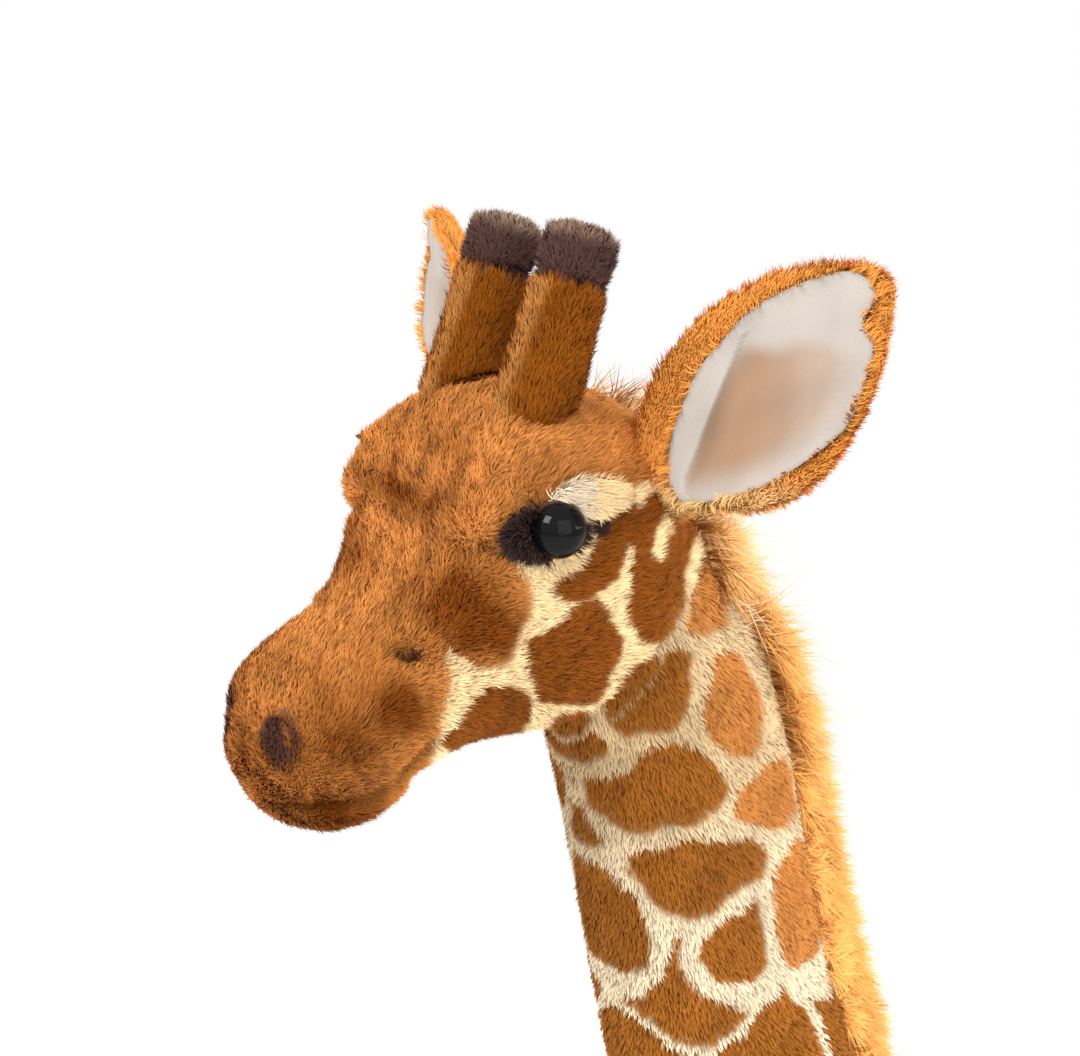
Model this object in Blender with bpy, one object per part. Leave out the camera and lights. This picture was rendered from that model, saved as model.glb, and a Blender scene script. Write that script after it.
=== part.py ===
"""Standing plush giraffe, built as its separate sewn, stuffed and moulded pieces.

Metres, +Z up. The giraffe faces -Y and its left side is +X. Face sizes are measured from the
head datum, the point midway between the two eyes, and everything else from the floor.
"""

import math

import bmesh
import bpy
import numpy as np
from mathutils import Vector
from mathutils.bvhtree import BVHTree

# Fits
SEAM_GAP = 0.00045      # a sewn or glued piece to what it lies on
SEAT_GAP = 0.0008       # a moving end in its socket
WIRE_GAP = 0.0003       # a wire or stem in its bore
OVERRUN = 0.004         # how far a cutter runs past what it cuts

# How finely curves are read
CURVE_SAMPLES = 60
SLOPE_STEP_SHARE = 0.02
SHARP_ANGLE = math.radians(50)

# Overall places
NECK_LEAN = 0.064       # how far the neck's foot lies behind its top
NECK_RISE = 0.208       # how far the neck's top pivot lies above its foot pivot

# Head
HEAD_LENGTH = 0.1185
HEAD_DEPTH = 0.085
HEAD_WIDTH = 0.076
NOSE_REACH = 0.0665     # from the eyes forward to the nose
HEAD_SECTION_SHARES = [
    # along the length from the nose, top, bottom (of the depth), half width (of the width)
    (0.012, -0.510, -0.710, 0.160),
    (0.040, -0.440, -0.775, 0.250),
    (0.085, -0.378, -0.800, 0.308),
    (0.150, -0.325, -0.805, 0.342),
    (0.240, -0.265, -0.785, 0.354),
    (0.320, -0.192, -0.750, 0.366),
    (0.380, -0.075, -0.715, 0.400),
    (0.430, 0.105, -0.692, 0.436),
    (0.485, 0.262, -0.682, 0.460),
    (0.560, 0.342, -0.680, 0.476),
    (0.650, 0.352, -0.682, 0.492),
    (0.745, 0.342, -0.668, 0.492),
    (0.825, 0.305, -0.628, 0.462),
    (0.898, 0.228, -0.548, 0.400),
    (0.952, 0.126, -0.432, 0.310),
    (0.985, 0.010, -0.287, 0.190),
]
HEAD_POWER_SHARE = 2.25
HEAD_CROWN_POWER_SHARE = 2.90
HEAD_RINGS = 18
HEAD_POINTS = 24
# Swells of the head: place, way it pushes, how far, how widely
BROW_PLACE = (0.0280, -0.0150, 0.0120)
BROW_WAY = (0.55, -0.80, 0.20)
BROW_PUSH = 0.0105
BROW_SPREAD = 0.0165
CHEEK_PLACE = (0.0300, -0.0190, -0.0240)
CHEEK_WAY = (0.90, -0.42, 0.0)
CHEEK_PUSH = 0.0035
CHEEK_SPREAD = 0.0150
SOCKET_PLACE = (0.0360, 0.0, 0.0)
SOCKET_WAY = (-1.0, 0.0, 0.0)
SOCKET_PUSH = 0.0022
SOCKET_SPREAD = 0.0110

# Lower jaw
JAW_LENGTH = 0.043
JAW_FRONT = -0.0655     # its front end, along Y from the head datum
JAW_WIDTH = 0.042
JAW_DROP = 0.0745       # its lowest line below the head datum
JAW_HEIGHT = 0.0200
JAW_SECTION_SHARES = [
    # along the length, bottom rise (of the height), half width (of the width)
    (0.06, 0.42, 0.24),
    (0.20, 0.14, 0.39),
    (0.40, 0.00, 0.47),
    (0.62, 0.06, 0.48),
    (0.82, 0.26, 0.40),
    (0.95, 0.52, 0.24),
]
JAW_LEVEL_SHARE = 0.75  # where its two ends close, up its height
JAW_POINTS = 16

# Eyes, their stems and lock washers
EYE_RADIUS = 0.0070
EYE_RISE = 0.0027       # how far the eye's widest line stands out from the skin
EYE_FACING = (0.90, -0.42, 0.08)
STEM_RADIUS = 0.0017
STEM_LENGTH = 0.0150
EYE_DOME_SHARES = [(0.0, 0.86), (0.38, 0.79), (0.70, 0.61), (0.92, 0.33), (1.0, 0.0), (0.95, -0.07)]
EYE_BACK_SHARE = 0.10
EYE_SIDES = 16
WASHER_RADIUS = 0.0060
WASHER_THICKNESS = 0.0015
WASHER_DEPTH = 0.0082   # from the eye's widest line back to the washer's front

# Pads that lie on the head's skin: half sizes along and up, thickness, shift forward and up
PATCH_SIZE = (0.0110, 0.0066)
PATCH_THICKNESS = 0.0011
PATCH_SHIFT = (0.0038, -0.0008)
LID_SIZE = (0.0098, 0.0042)
LID_THICKNESS = 0.0024
LID_SHIFT = (-0.0080, 0.0064)
PAD_RINGS = 4
PAD_POINTS = 14
PAD_EDGE_SHARE = 0.45   # a pad's thickness at its edge, of its middle
PAD_ROOM_SHARES = (4, 2)    # how far the room round a pad runs below and above it, of its gap

# Nostrils
NOSTRIL_SIZE = (0.0062, 0.0084)
NOSTRIL_THICKNESS = 0.0007
NOSTRIL_AIM = (0.0, -0.0490, -0.0490)       # a ray from here along the facing finds its place
NOSTRIL_FACING = (0.77, -0.63, 0.10)

# Horns
HORN_FOOT = (0.0168, 0.0036, 0.0180)
HORN_TOP = (0.0170, 0.0204, 0.0688)
HORN_RADIUS = 0.0101
HORN_CAP_LENGTH = 0.0150
HORN_RADIUS_SHARES = [(0.0, 1.16), (0.35, 1.04), (0.62, 0.98), (1.0, 0.98)]
HORN_CAP_SHARES = [(0.0, 1.03), (0.5, 1.06), (0.84, 0.98), (0.96, 0.72)]
HORN_SIDES = 18

# Ears
EAR_PIVOT = (0.0265, 0.0360, 0.0080)
EAR_LENGTH = 0.088
EAR_WIDTH = 0.048
EAR_KNUCKLE = 0.0085
EAR_KNUCKLE_WIDTH = 0.0120
EAR_POINTING = (0.76, 0.11, 0.63)
EAR_FACING = (0.32, -0.94, 0.02)
EAR_CUP = 0.0110
EAR_SWEEP = 0.0065      # how far the ear bows outward and down from its straight line
EAR_THICKNESS = 0.0100
EAR_SECTION_SHARES = [
    # along the length, half width, cup, thickness, sweep, each of its own size
    (0.00, 0.245, 0.00, 1.70, 0.00),
    (0.08, 0.270, 0.18, 1.50, 0.06),
    (0.20, 0.360, 0.62, 1.10, 0.36),
    (0.34, 0.455, 0.95, 0.85, 0.80),
    (0.50, 0.500, 1.00, 0.74, 1.00),
    (0.66, 0.465, 0.86, 0.70, 0.98),
    (0.80, 0.365, 0.60, 0.66, 0.85),
    (0.91, 0.225, 0.32, 0.60, 0.62),
    (0.98, 0.095, 0.12, 0.50, 0.42),
]
EAR_TIP_SHARE = 0.02
EAR_SIDES = 16
EAR_RINGS = 10
EAR_SWING = math.radians(12)
LINING_THICKNESS = 0.0014
LINING_SPAN_SHARES = (0.12, 0.93)
LINING_WIDTH_SHARE = 0.80
LINING_RINGS = 8

# Neck
NECK_TOP_PLACE = (0.0, 0.0370, -0.0270)     # the head's pivot, from the head datum
NECK_TOP_RADIUS = 0.0280
NECK_FOOT_RADIUS = 0.0380
NECK_FOOT_WIDTH_SHARE = 0.95
NECK_SECTION_SHARES = [
    # height (of the rise, from the foot), set back (of the lean), radius (of the top radius)
    (1.00, 0.00, 1.00),
    (0.91, 0.20, 1.08),
    (0.80, 0.33, 1.12),
    (0.66, 0.43, 1.12),
    (0.48, 0.56, 1.15),
    (0.30, 0.72, 1.22),
    (0.14, 0.88, 1.31),
    (0.00, 1.00, 1.36),
]
NECK_SIDES = 20
NECK_RINGS = 9
DOME_RINGS = 4
WIRE_SIDES = 10
WIRE_RINGS = 8
NECK_WIRE_RADIUS = 0.0025
NECK_WIRE_SPAN_SHARES = (0.02, 0.86)
NECK_SWING = math.radians(14)
HEAD_SWING = math.radians(14)
SEAT_REACH_SHARE = 1.9      # how far a socket's cutter runs outward, of its radius
NECK_SEAT_FLARE_SHARE = 1.06
HEAD_SEAT_FLARE_SHARE = 1.24
HEAD_SEAT_AIM_SHARE = 0.78      # the socket's mouth looks at this share of the neck's rise
EAR_SEAT_FLARE_SHARE = 1.45
LIMB_SEAT_FLARE_SHARE = 1.0

# Mane
MANE_HEIGHT = 0.0100
MANE_WIDTH = 0.0130
MANE_SPAN_SHARES = (0.16, 0.84)
MANE_END_SHARE = 0.15   # the length over which it grows to full height
MANE_START_SHARE = 0.15
MANE_SINK_SHARE = 0.33  # how deep it is drawn into the neck before it is cut to it
MANE_RINGS = 12
MANE_POINTS = 10

# Torso
NECK_FOOT_INSET = 0.0350    # the neck's foot pivot behind the chest
NECK_FOOT_LIFT = 0.0930     # and above the belly line
HIP_HEIGHT = 0.232
HIP_LIFT = 0.0260       # the hips above the belly line
TORSO_FRONT = NECK_TOP_PLACE[1] + NECK_LEAN - NECK_FOOT_INSET
TORSO_BELLY = HIP_HEIGHT - HIP_LIFT
EYE_HEIGHT = TORSO_BELLY + NECK_FOOT_LIFT + NECK_RISE - NECK_TOP_PLACE[2]
TORSO_LENGTH = 0.196
TORSO_DEPTH = 0.132
TORSO_WIDTH = 0.098
TORSO_SECTION_SHARES = [
    # along the length, top, bottom (of the depth, from the belly line), half width
    (0.012, 0.600, 0.330, 0.150),
    (0.045, 0.780, 0.215, 0.280),
    (0.105, 0.930, 0.105, 0.400),
    (0.195, 0.995, 0.030, 0.470),
    (0.300, 0.980, 0.000, 0.500),
    (0.430, 0.915, 0.010, 0.488),
    (0.560, 0.865, 0.045, 0.470),
    (0.690, 0.840, 0.080, 0.478),
    (0.800, 0.810, 0.095, 0.485),
    (0.890, 0.745, 0.120, 0.445),
    (0.950, 0.655, 0.175, 0.360),
    (0.985, 0.550, 0.265, 0.225),
]
TORSO_RINGS = 15
TORSO_POINTS = 24
TORSO_POWER_SHARE = 2.15

# Legs
HIP_HALF_WIDTH = 0.0205
HIP_SPREAD = 0.0320     # from the middle to each hip
FRONT_HIP_INSET = 0.0400    # the front hips behind the chest
REAR_HIP_INSET = 0.0350     # the rear hips before the rump
FRONT_HIP = TORSO_FRONT + FRONT_HIP_INSET
REAR_HIP = TORSO_FRONT + TORSO_LENGTH - REAR_HIP_INSET
FRONT_HIP_RADIUS = 0.0275
REAR_HIP_RADIUS = 0.0310
HIP_SWING = math.radians(8)
LEG_FRONT_SHARES = [
    # down (of the hip height), half depth (of the hip radius), half width, set back
    (0.00, 1.000, 1.000, 0.00),
    (0.06, 0.930, 0.960, 0.00),
    (0.14, 0.820, 0.890, 0.00),
    (0.28, 0.650, 0.770, 0.02),
    (0.42, 0.570, 0.700, 0.03),
    (0.53, 0.600, 0.725, -0.01),
    (0.62, 0.560, 0.690, -0.01),
    (0.74, 0.500, 0.640, 0.02),
    (0.82, 0.520, 0.680, 0.02),
]
LEG_REAR_SHARES = [
    (0.00, 1.000, 1.000, 0.00),
    (0.06, 0.940, 0.970, 0.00),
    (0.14, 0.830, 0.910, 0.00),
    (0.28, 0.640, 0.780, 0.08),
    (0.42, 0.520, 0.700, 0.20),
    (0.53, 0.510, 0.710, 0.24),
    (0.62, 0.470, 0.670, 0.20),
    (0.74, 0.440, 0.640, 0.12),
    (0.82, 0.460, 0.680, 0.10),
]
LEG_SIDES = 16
LEG_RINGS = 9
HOOF_HEIGHT = 0.0380
HOOF_RADIUS = 0.0185
HOOF_TOE = 0.0040       # how far the toe runs forward of the leg
HOOF_SECTION_SHARES = [
    # up (of the height), radius share, toe share
    (0.00, 1.00, 1.00),
    (0.16, 1.04, 1.00),
    (0.55, 0.96, 0.55),
    (0.88, 0.86, 0.10),
    (1.00, 0.78, 0.00),
]
SOLE_THICKNESS = 0.0020
SOLE_RADIUS_SHARE = 0.94
ROD_SIDES = 8
ROD_RADIUS = 0.0018
ROD_FOOT = 0.0110       # its lower end above the floor
ROD_TOP = 0.2000

# Tail
TAIL_INSET = 0.0030     # its pivot before the rump
TAIL_LIFT = 0.0740      # and above the belly line
TAIL_PIVOT = (0.0, TORSO_FRONT + TORSO_LENGTH - TAIL_INSET, TORSO_BELLY + TAIL_LIFT)
TAIL_KNUCKLE = 0.0060
TAIL_LENGTH = 0.0900
TAIL_RADIUS = 0.0042
TAIL_SET_BACK = 0.0150
TAIL_SWING = math.radians(40)
TAIL_SECTION_SHARES = [(0.00, 0.00, 1.43), (0.08, 0.28, 1.15), (0.20, 0.62, 1.0), (0.38, 0.88, 1.0),
                       (0.62, 1.00, 0.95), (1.00, 1.02, 0.90)]
TAIL_SIDES = 12
TAIL_RINGS = 10
TUFT_LENGTH = 0.0480
TUFT_RADIUS = 0.0082
TUFT_SECTION_SHARES = [(0.0, 0.46), (0.18, 0.80), (0.42, 1.00), (0.68, 0.86), (0.88, 0.50)]

COLOURS = {
    "spotted_plush": (0.33, 0.117, 0.023),
    "head_plush": (0.48, 0.175, 0.045),
    "dark_plush": (0.070, 0.036, 0.026),
    "horn_plush": (0.212, 0.055, 0.008),
    "ear_lining": (0.600, 0.480, 0.390),
    "cream_plush": (0.720, 0.560, 0.380),
    "eye_gloss": (0.010, 0.009, 0.010),
    "washer_plastic": (0.700, 0.700, 0.680),
    "mane_hair": (0.753, 0.340, 0.090),
    "hoof_suede": (0.060, 0.032, 0.020),
    "sole_felt": (0.045, 0.028, 0.020),
    "armature_steel": (0.480, 0.480, 0.500),
}
ROUGHNESS = {"eye_gloss": 0.06, "ear_lining": 0.45, "washer_plastic": 0.40, "armature_steel": 0.35}
PLUSH_ROUGHNESS = 0.95

X_AXIS = Vector((1, 0, 0))
Y_AXIS = Vector((0, 1, 0))
Z_AXIS = Vector((0, 0, 1))
HEAD_DATUM = Vector((0, 0, EYE_HEIGHT))
HEAD_SKIN = {}


def clear_scene():
    for item in list(bpy.data.objects):
        bpy.data.objects.remove(item, do_unlink=True)


def material(slot):
    existing = bpy.data.materials.get(slot)
    if existing:
        return existing
    made = bpy.data.materials.new(slot)
    made.use_nodes = True
    shader = made.node_tree.nodes["Principled BSDF"]
    shader.inputs["Base Color"].default_value = (*COLOURS[slot], 1)
    shader.inputs["Roughness"].default_value = ROUGHNESS.get(slot, PLUSH_ROUGHNESS)
    shader.inputs["Metallic"].default_value = 1 if slot == "armature_steel" else 0
    made.diffuse_color = (*COLOURS[slot], 1)
    return made


def smooth_rows(rows, count):
    """Rows of a table read at even steps of their own index from a Catmull-Rom curve."""
    table = np.array(rows, dtype=float)
    padded = np.vstack([2 * table[0] - table[1], table, 2 * table[-1] - table[-2]])
    out = []
    for place in np.linspace(0, len(table) - 1, count):
        start = min(int(place), len(table) - 2)
        t = place - start
        a, b, c, d = padded[start:start + 4]
        out.append(0.5 * (2 * b + (c - a) * t + (2 * a - 5 * b + 4 * c - d) * t ** 2
                          + (3 * b - a - 3 * c + d) * t ** 3))
    return out


def ring(centre, across, depth, half_across, half_depth, points, low_power=2.0, high_power=None,
         turn=0.0):
    """A closed outline round a centre, an ellipse where the power is 2 and squarer above that."""
    outline = []
    for index in range(points):
        angle = 2 * math.pi * (index + turn) / points
        c = math.cos(angle)
        s = math.sin(angle)
        power = high_power if high_power and s > 0 else low_power
        x = half_across * math.copysign(abs(c) ** (2 / power), c)
        y = half_depth * math.copysign(abs(s) ** (2 / power), s)
        outline.append(Vector(centre) + across * x + depth * y)
    return outline


def solid(name, rings, slot, origin, start=None, end=None):
    """A closed body through the rings; each end closes on its pole, or flat without one."""
    points = [p for outline in rings for p in outline]
    size = len(rings[0])
    faces = []
    for level in range(len(rings) - 1):
        for index in range(size):
            following = (index + 1) % size
            low = level * size
            high = low + size
            faces.append((low + index, low + following, high + following, high + index))
    for pole, first in ((start, 0), (end, (len(rings) - 1) * size)):
        if pole is None:
            faces.append(tuple(first + index for index in range(size)))
            continue
        points.append(Vector(pole))
        for index in range(size):
            faces.append((first + index, first + (index + 1) % size, len(points) - 1))
    mesh = bpy.data.meshes.new(name)
    mesh.from_pydata([tuple(p - Vector(origin)) for p in points], [], faces)
    work = bmesh.new()
    work.from_mesh(mesh)
    bmesh.ops.triangulate(work, faces=[face for face in work.faces if len(face.verts) == 4])
    bmesh.ops.recalc_face_normals(work, faces=work.faces)
    work.to_mesh(mesh)
    work.free()
    mesh.shade_smooth()
    mesh.set_sharp_from_angle(angle=SHARP_ANGLE)
    made = bpy.data.objects.new(name, mesh)
    made.location = origin
    bpy.context.collection.objects.link(made)
    if slot:
        mesh.materials.append(material(slot))
    else:
        made.hide_render = True
        made.display_type = "WIRE"
    return made


def cut(target, *cutters):
    for cutter in cutters:
        step = target.modifiers.new("cut_by_" + cutter.name, "BOOLEAN")
        step.operation = "DIFFERENCE"
        step.solver = "EXACT"
        step.object = cutter


def mirrored(place, side):
    return Vector((side * place[0], place[1], place[2]))


def side_name(side):
    return "left" if side > 0 else "right"


def on_head(place, side=1):
    return HEAD_DATUM + mirrored(place, side)


def dome(pivot, along, across, depth, radius, half_width, points, turn=0.0):
    """Rings of the half of an ellipsoid, round about the across axis, that lies before the pivot."""
    rings = []
    for step in range(1, DOME_RINGS):
        angle = math.pi / 2 * (1 - step / DOME_RINGS)
        share = math.cos(angle)
        centre = Vector(pivot) - along * (radius * math.sin(angle))
        rings.append(ring(centre, across, depth, half_width * share, radius * share, points, turn=turn))
    return rings


def seat(name, pivot, along, across, radius, half_width, swing, reach, flare, points):
    """A socket's cutter: the dome with its gap, then the shaft's room to swing, flaring outward.

    Its flat sides lie outside the round of the shaft and face the shaft's corners.
    """
    depth = along.cross(across).normalized()
    outside = 1 / math.cos(math.pi / points)
    deep = (radius + SEAT_GAP) * outside
    wide = (half_width + SEAT_GAP) * outside
    rings = dome(pivot, along, across, depth, deep, wide, points, turn=0.5)
    rings.append(ring(pivot, across, depth, wide, deep, points, turn=0.5))
    mouth_wide = (half_width * flare + SEAT_GAP) * outside
    mouth_deep = (radius * flare * math.cos(swing) + reach * math.sin(swing) + SEAT_GAP) * outside
    rings.append(ring(Vector(pivot) + along * reach, across, depth, max(mouth_wide, wide),
                      max(mouth_deep, deep), points, turn=0.5))
    return solid(name, rings, None, pivot, start=Vector(pivot) - along * deep)


def swell(point, place, way, push, spread):
    """Pushes a point of the head near a place given on each side."""
    for side in (1, -1):
        reach = (point - on_head(place, side)).length / spread
        point = point + mirrored(way, side).normalized() * (push * math.exp(-reach * reach))
    return point


def head_rings(grow):
    rows = smooth_rows(HEAD_SECTION_SHARES, HEAD_RINGS)
    middle = HEAD_LENGTH / 2 - NOSE_REACH
    stretch = 1 + 2 * grow / HEAD_LENGTH
    rings = []
    for along, top, bottom, half in rows:
        y = middle + (along * HEAD_LENGTH - NOSE_REACH - middle) * stretch
        centre = HEAD_DATUM + Y_AXIS * y + Z_AXIS * ((top + bottom) / 2 * HEAD_DEPTH)
        outline = ring(centre, X_AXIS, Z_AXIS, half * HEAD_WIDTH + grow,
                       (top - bottom) / 2 * HEAD_DEPTH + grow, HEAD_POINTS, HEAD_POWER_SHARE,
                       HEAD_CROWN_POWER_SHARE)
        for settings in ((BROW_PLACE, BROW_WAY, BROW_PUSH, BROW_SPREAD),
                         (CHEEK_PLACE, CHEEK_WAY, CHEEK_PUSH, CHEEK_SPREAD),
                         (SOCKET_PLACE, SOCKET_WAY, SOCKET_PUSH, SOCKET_SPREAD)):
            outline = [swell(p, *settings) for p in outline]
        rings.append(outline)
    return rings


def head_body(name, slot, grow, origin):
    rings = head_rings(grow)
    nose = sum(rings[0], Vector()) / HEAD_POINTS
    back = sum(rings[-1], Vector()) / HEAD_POINTS
    nose.y = HEAD_DATUM.y - NOSE_REACH - grow
    back.y = HEAD_DATUM.y - NOSE_REACH + HEAD_LENGTH + grow
    return solid(name, rings, slot, origin, start=nose, end=back)


def neck_line(share):
    """The neck's centre and its local radius at a share of its rise, from foot to top."""
    table = np.array(NECK_SECTION_SHARES[::-1])
    rows = np.array(smooth_rows(table, CURVE_SAMPLES))
    back = np.interp(share, rows[:, 0], rows[:, 1])
    radius = np.interp(share, rows[:, 0], rows[:, 2]) * NECK_TOP_RADIUS
    top = HEAD_DATUM + Vector(NECK_TOP_PLACE)
    centre = top + Y_AXIS * (back * NECK_LEAN) - Z_AXIS * ((1 - share) * NECK_RISE)
    return centre, radius


def neck_up(share):
    low = neck_line(max(share - SLOPE_STEP_SHARE, 0))[0]
    high = neck_line(min(share + SLOPE_STEP_SHARE, 1))[0]
    return (high - low).normalized()


def skin_point(start, facing, side=1):
    """Where a ray from a place in the head meets its skin."""
    hit = HEAD_SKIN["tree"].ray_cast(on_head(start, side), mirrored(facing, side).normalized())
    return hit[0]


def build_neck():
    top, _ = neck_line(1)
    foot, _ = neck_line(0)
    up_top = neck_up(1)
    up_foot = neck_up(0)
    width = NECK_FOOT_RADIUS * NECK_FOOT_WIDTH_SHARE
    rings = dome(foot, up_foot, X_AXIS, up_foot.cross(X_AXIS), NECK_FOOT_RADIUS, width, NECK_SIDES)
    for share in np.linspace(0, 1, NECK_RINGS):
        centre, radius = neck_line(share)
        wide = radius if share else width
        rings.append(ring(centre, X_AXIS, neck_up(share).cross(X_AXIS), wide, radius, NECK_SIDES))
    crown = dome(top, -up_top, X_AXIS, up_top.cross(X_AXIS), NECK_TOP_RADIUS, NECK_TOP_RADIUS, NECK_SIDES)
    rings += crown[::-1]
    neck = solid("neck", rings, "spotted_plush", foot, start=foot - up_foot * NECK_FOOT_RADIUS,
                 end=top + up_top * NECK_TOP_RADIUS)

    def wire_rings(radius, span):
        return [ring(neck_line(share)[0], X_AXIS, neck_up(share).cross(X_AXIS), radius, radius,
                     WIRE_SIDES) for share in np.linspace(*span, WIRE_RINGS)]

    low, high = NECK_WIRE_SPAN_SHARES
    wire = solid("neck_wire", wire_rings(NECK_WIRE_RADIUS, (low, high)), "armature_steel", foot)
    bore = wire_rings(NECK_WIRE_RADIUS + WIRE_GAP, (0, high))
    end = foot - up_foot * (NECK_FOOT_RADIUS + OVERRUN)
    mouth = ring(end, X_AXIS, up_foot.cross(X_AXIS), NECK_WIRE_RADIUS + WIRE_GAP,
                 NECK_WIRE_RADIUS + WIRE_GAP, WIRE_SIDES)
    past = neck_line(high)[0] + neck_up(high) * WIRE_GAP
    blind = ring(past, X_AXIS, neck_up(high).cross(X_AXIS), NECK_WIRE_RADIUS + WIRE_GAP,
                 NECK_WIRE_RADIUS + WIRE_GAP, WIRE_SIDES)
    cut(neck, solid("neck_bore", [mouth] + bore + [blind], None, foot))
    return neck, wire


def build_mane():
    low, high = MANE_SPAN_SHARES
    foot, _ = neck_line(0)
    rings = []
    for step, share in enumerate(np.linspace(low, high, MANE_RINGS)):
        centre, radius = neck_line(share)
        back = -neck_up(share).cross(X_AXIS)
        back = back if back.y > 0 else -back
        ends = min(step, MANE_RINGS - 1 - step) / (MANE_RINGS * MANE_END_SHARE)
        height = MANE_HEIGHT * min(1, math.sqrt(MANE_START_SHARE + ends))
        sink = MANE_HEIGHT * MANE_SINK_SHARE
        middle = centre + back * (radius + SEAM_GAP + height / 2 - sink)
        rings.append(ring(middle, X_AXIS, back, MANE_WIDTH / 2, height / 2 + sink, MANE_POINTS))
    mane = solid("mane", rings, "mane_hair", foot)
    shape = []
    for share in np.linspace(0, 1, NECK_RINGS):
        centre, radius = neck_line(share)
        wide = radius + SEAM_GAP
        shape.append(ring(centre, X_AXIS, neck_up(share).cross(X_AXIS), wide, wide, NECK_SIDES))
    cut(mane, solid("neck_shape", shape, None, foot))
    return mane


def build_head():
    pivot = HEAD_DATUM + Vector(NECK_TOP_PLACE)
    head = head_body("head", "head_plush", 0, pivot)
    faces = [tuple(face.vertices) for face in head.data.polygons]
    HEAD_SKIN["tree"] = BVHTree.FromPolygons([v.co + pivot for v in head.data.vertices], faces)
    down = (neck_line(HEAD_SEAT_AIM_SHARE)[0] - pivot).normalized()
    cut(head, seat("head_seat", pivot, down, X_AXIS, NECK_TOP_RADIUS, NECK_TOP_RADIUS, HEAD_SWING,
                   NECK_TOP_RADIUS * SEAT_REACH_SHARE, HEAD_SEAT_FLARE_SHARE, NECK_SIDES))
    return head, head_body("head_shape", None, SEAM_GAP, pivot)


def build_jaw(head_shape):
    pivot = HEAD_DATUM + Vector(NECK_TOP_PLACE)
    rings = []
    for along, rise, half in JAW_SECTION_SHARES:
        y = JAW_FRONT + along * JAW_LENGTH
        bottom = -JAW_DROP + rise * JAW_HEIGHT
        top = -JAW_DROP + JAW_HEIGHT
        centre = HEAD_DATUM + Y_AXIS * y + Z_AXIS * ((top + bottom) / 2)
        rings.append(ring(centre, X_AXIS, Z_AXIS, half * JAW_WIDTH, (top - bottom) / 2, JAW_POINTS))
    level = Z_AXIS * (-JAW_DROP + JAW_HEIGHT * JAW_LEVEL_SHARE)
    front = HEAD_DATUM + Y_AXIS * JAW_FRONT + level
    back = front + Y_AXIS * JAW_LENGTH
    jaw = solid("lower_jaw", rings, "head_plush", pivot, start=front, end=back)
    cut(jaw, head_shape)
    return jaw


def turned(name, profile, slot, origin, facing, sides):
    """A body turned about the facing direction from (radius, distance) pairs that end on the axis."""
    facing = Vector(facing).normalized()
    across = facing.cross(Z_AXIS).normalized()
    depth = facing.cross(across)
    rings = [ring(origin + facing * out, across, depth, radius, radius, sides)
             for radius, out in profile[1:-1]]
    return solid(name, rings, slot, origin, start=origin + facing * profile[0][1],
                 end=origin + facing * profile[-1][1])


def pad(name, middle, facing, sizes, thickness, slot, origin, grow=0.0):
    """A sewn pad that follows the skin; grown, it is the room that the pad takes up."""
    facing = Vector(facing).normalized()
    across = facing.cross(Z_AXIS).normalized()
    up = across.cross(facing)

    def layer(share, height):
        outline = []
        for spot in ring(middle, across, up, share * (sizes[0] + grow), share * (sizes[1] + grow),
                         PAD_POINTS):
            place, normal, _, _ = HEAD_SKIN["tree"].ray_cast(spot + facing * HEAD_WIDTH, -facing)
            outline.append(place + normal * height)
        return outline

    below, above = [share * grow for share in PAD_ROOM_SHARES]
    low = SEAM_GAP - below
    rings = []
    shares = [(step + 1) / PAD_RINGS for step in range(PAD_RINGS)]
    for share in shares:
        rings.append(layer(share, low))
    for share in shares[::-1]:
        rise = thickness * (PAD_EDGE_SHARE + (1 - PAD_EDGE_SHARE) * (1 - share * share)) + above
        rings.append(layer(share, SEAM_GAP + rise))
    place, normal, _, _ = HEAD_SKIN["tree"].ray_cast(middle + facing * HEAD_WIDTH, -facing)
    return solid(name, rings, slot, origin, start=place + normal * low,
                 end=place + normal * (SEAM_GAP + thickness + above))


def eye_profile(grow):
    shares = [(r * EYE_RADIUS, out * EYE_RADIUS) for r, out in EYE_DOME_SHARES]
    back = EYE_BACK_SHARE * EYE_RADIUS
    outline = [(0, shares[0][1] + grow)]
    outline += [(r + grow, out + (grow if out > 0 else -grow)) for r, out in shares[1:]]
    outline += [(STEM_RADIUS + grow, -back - grow), (STEM_RADIUS + grow, -STEM_LENGTH - grow)]
    return outline + [(0, -STEM_LENGTH - grow)]


def eye_place(side):
    skin = skin_point((0, 0, 0), (1, 0, 0), side)
    return skin + mirrored(EYE_FACING, side).normalized() * EYE_RISE


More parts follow.
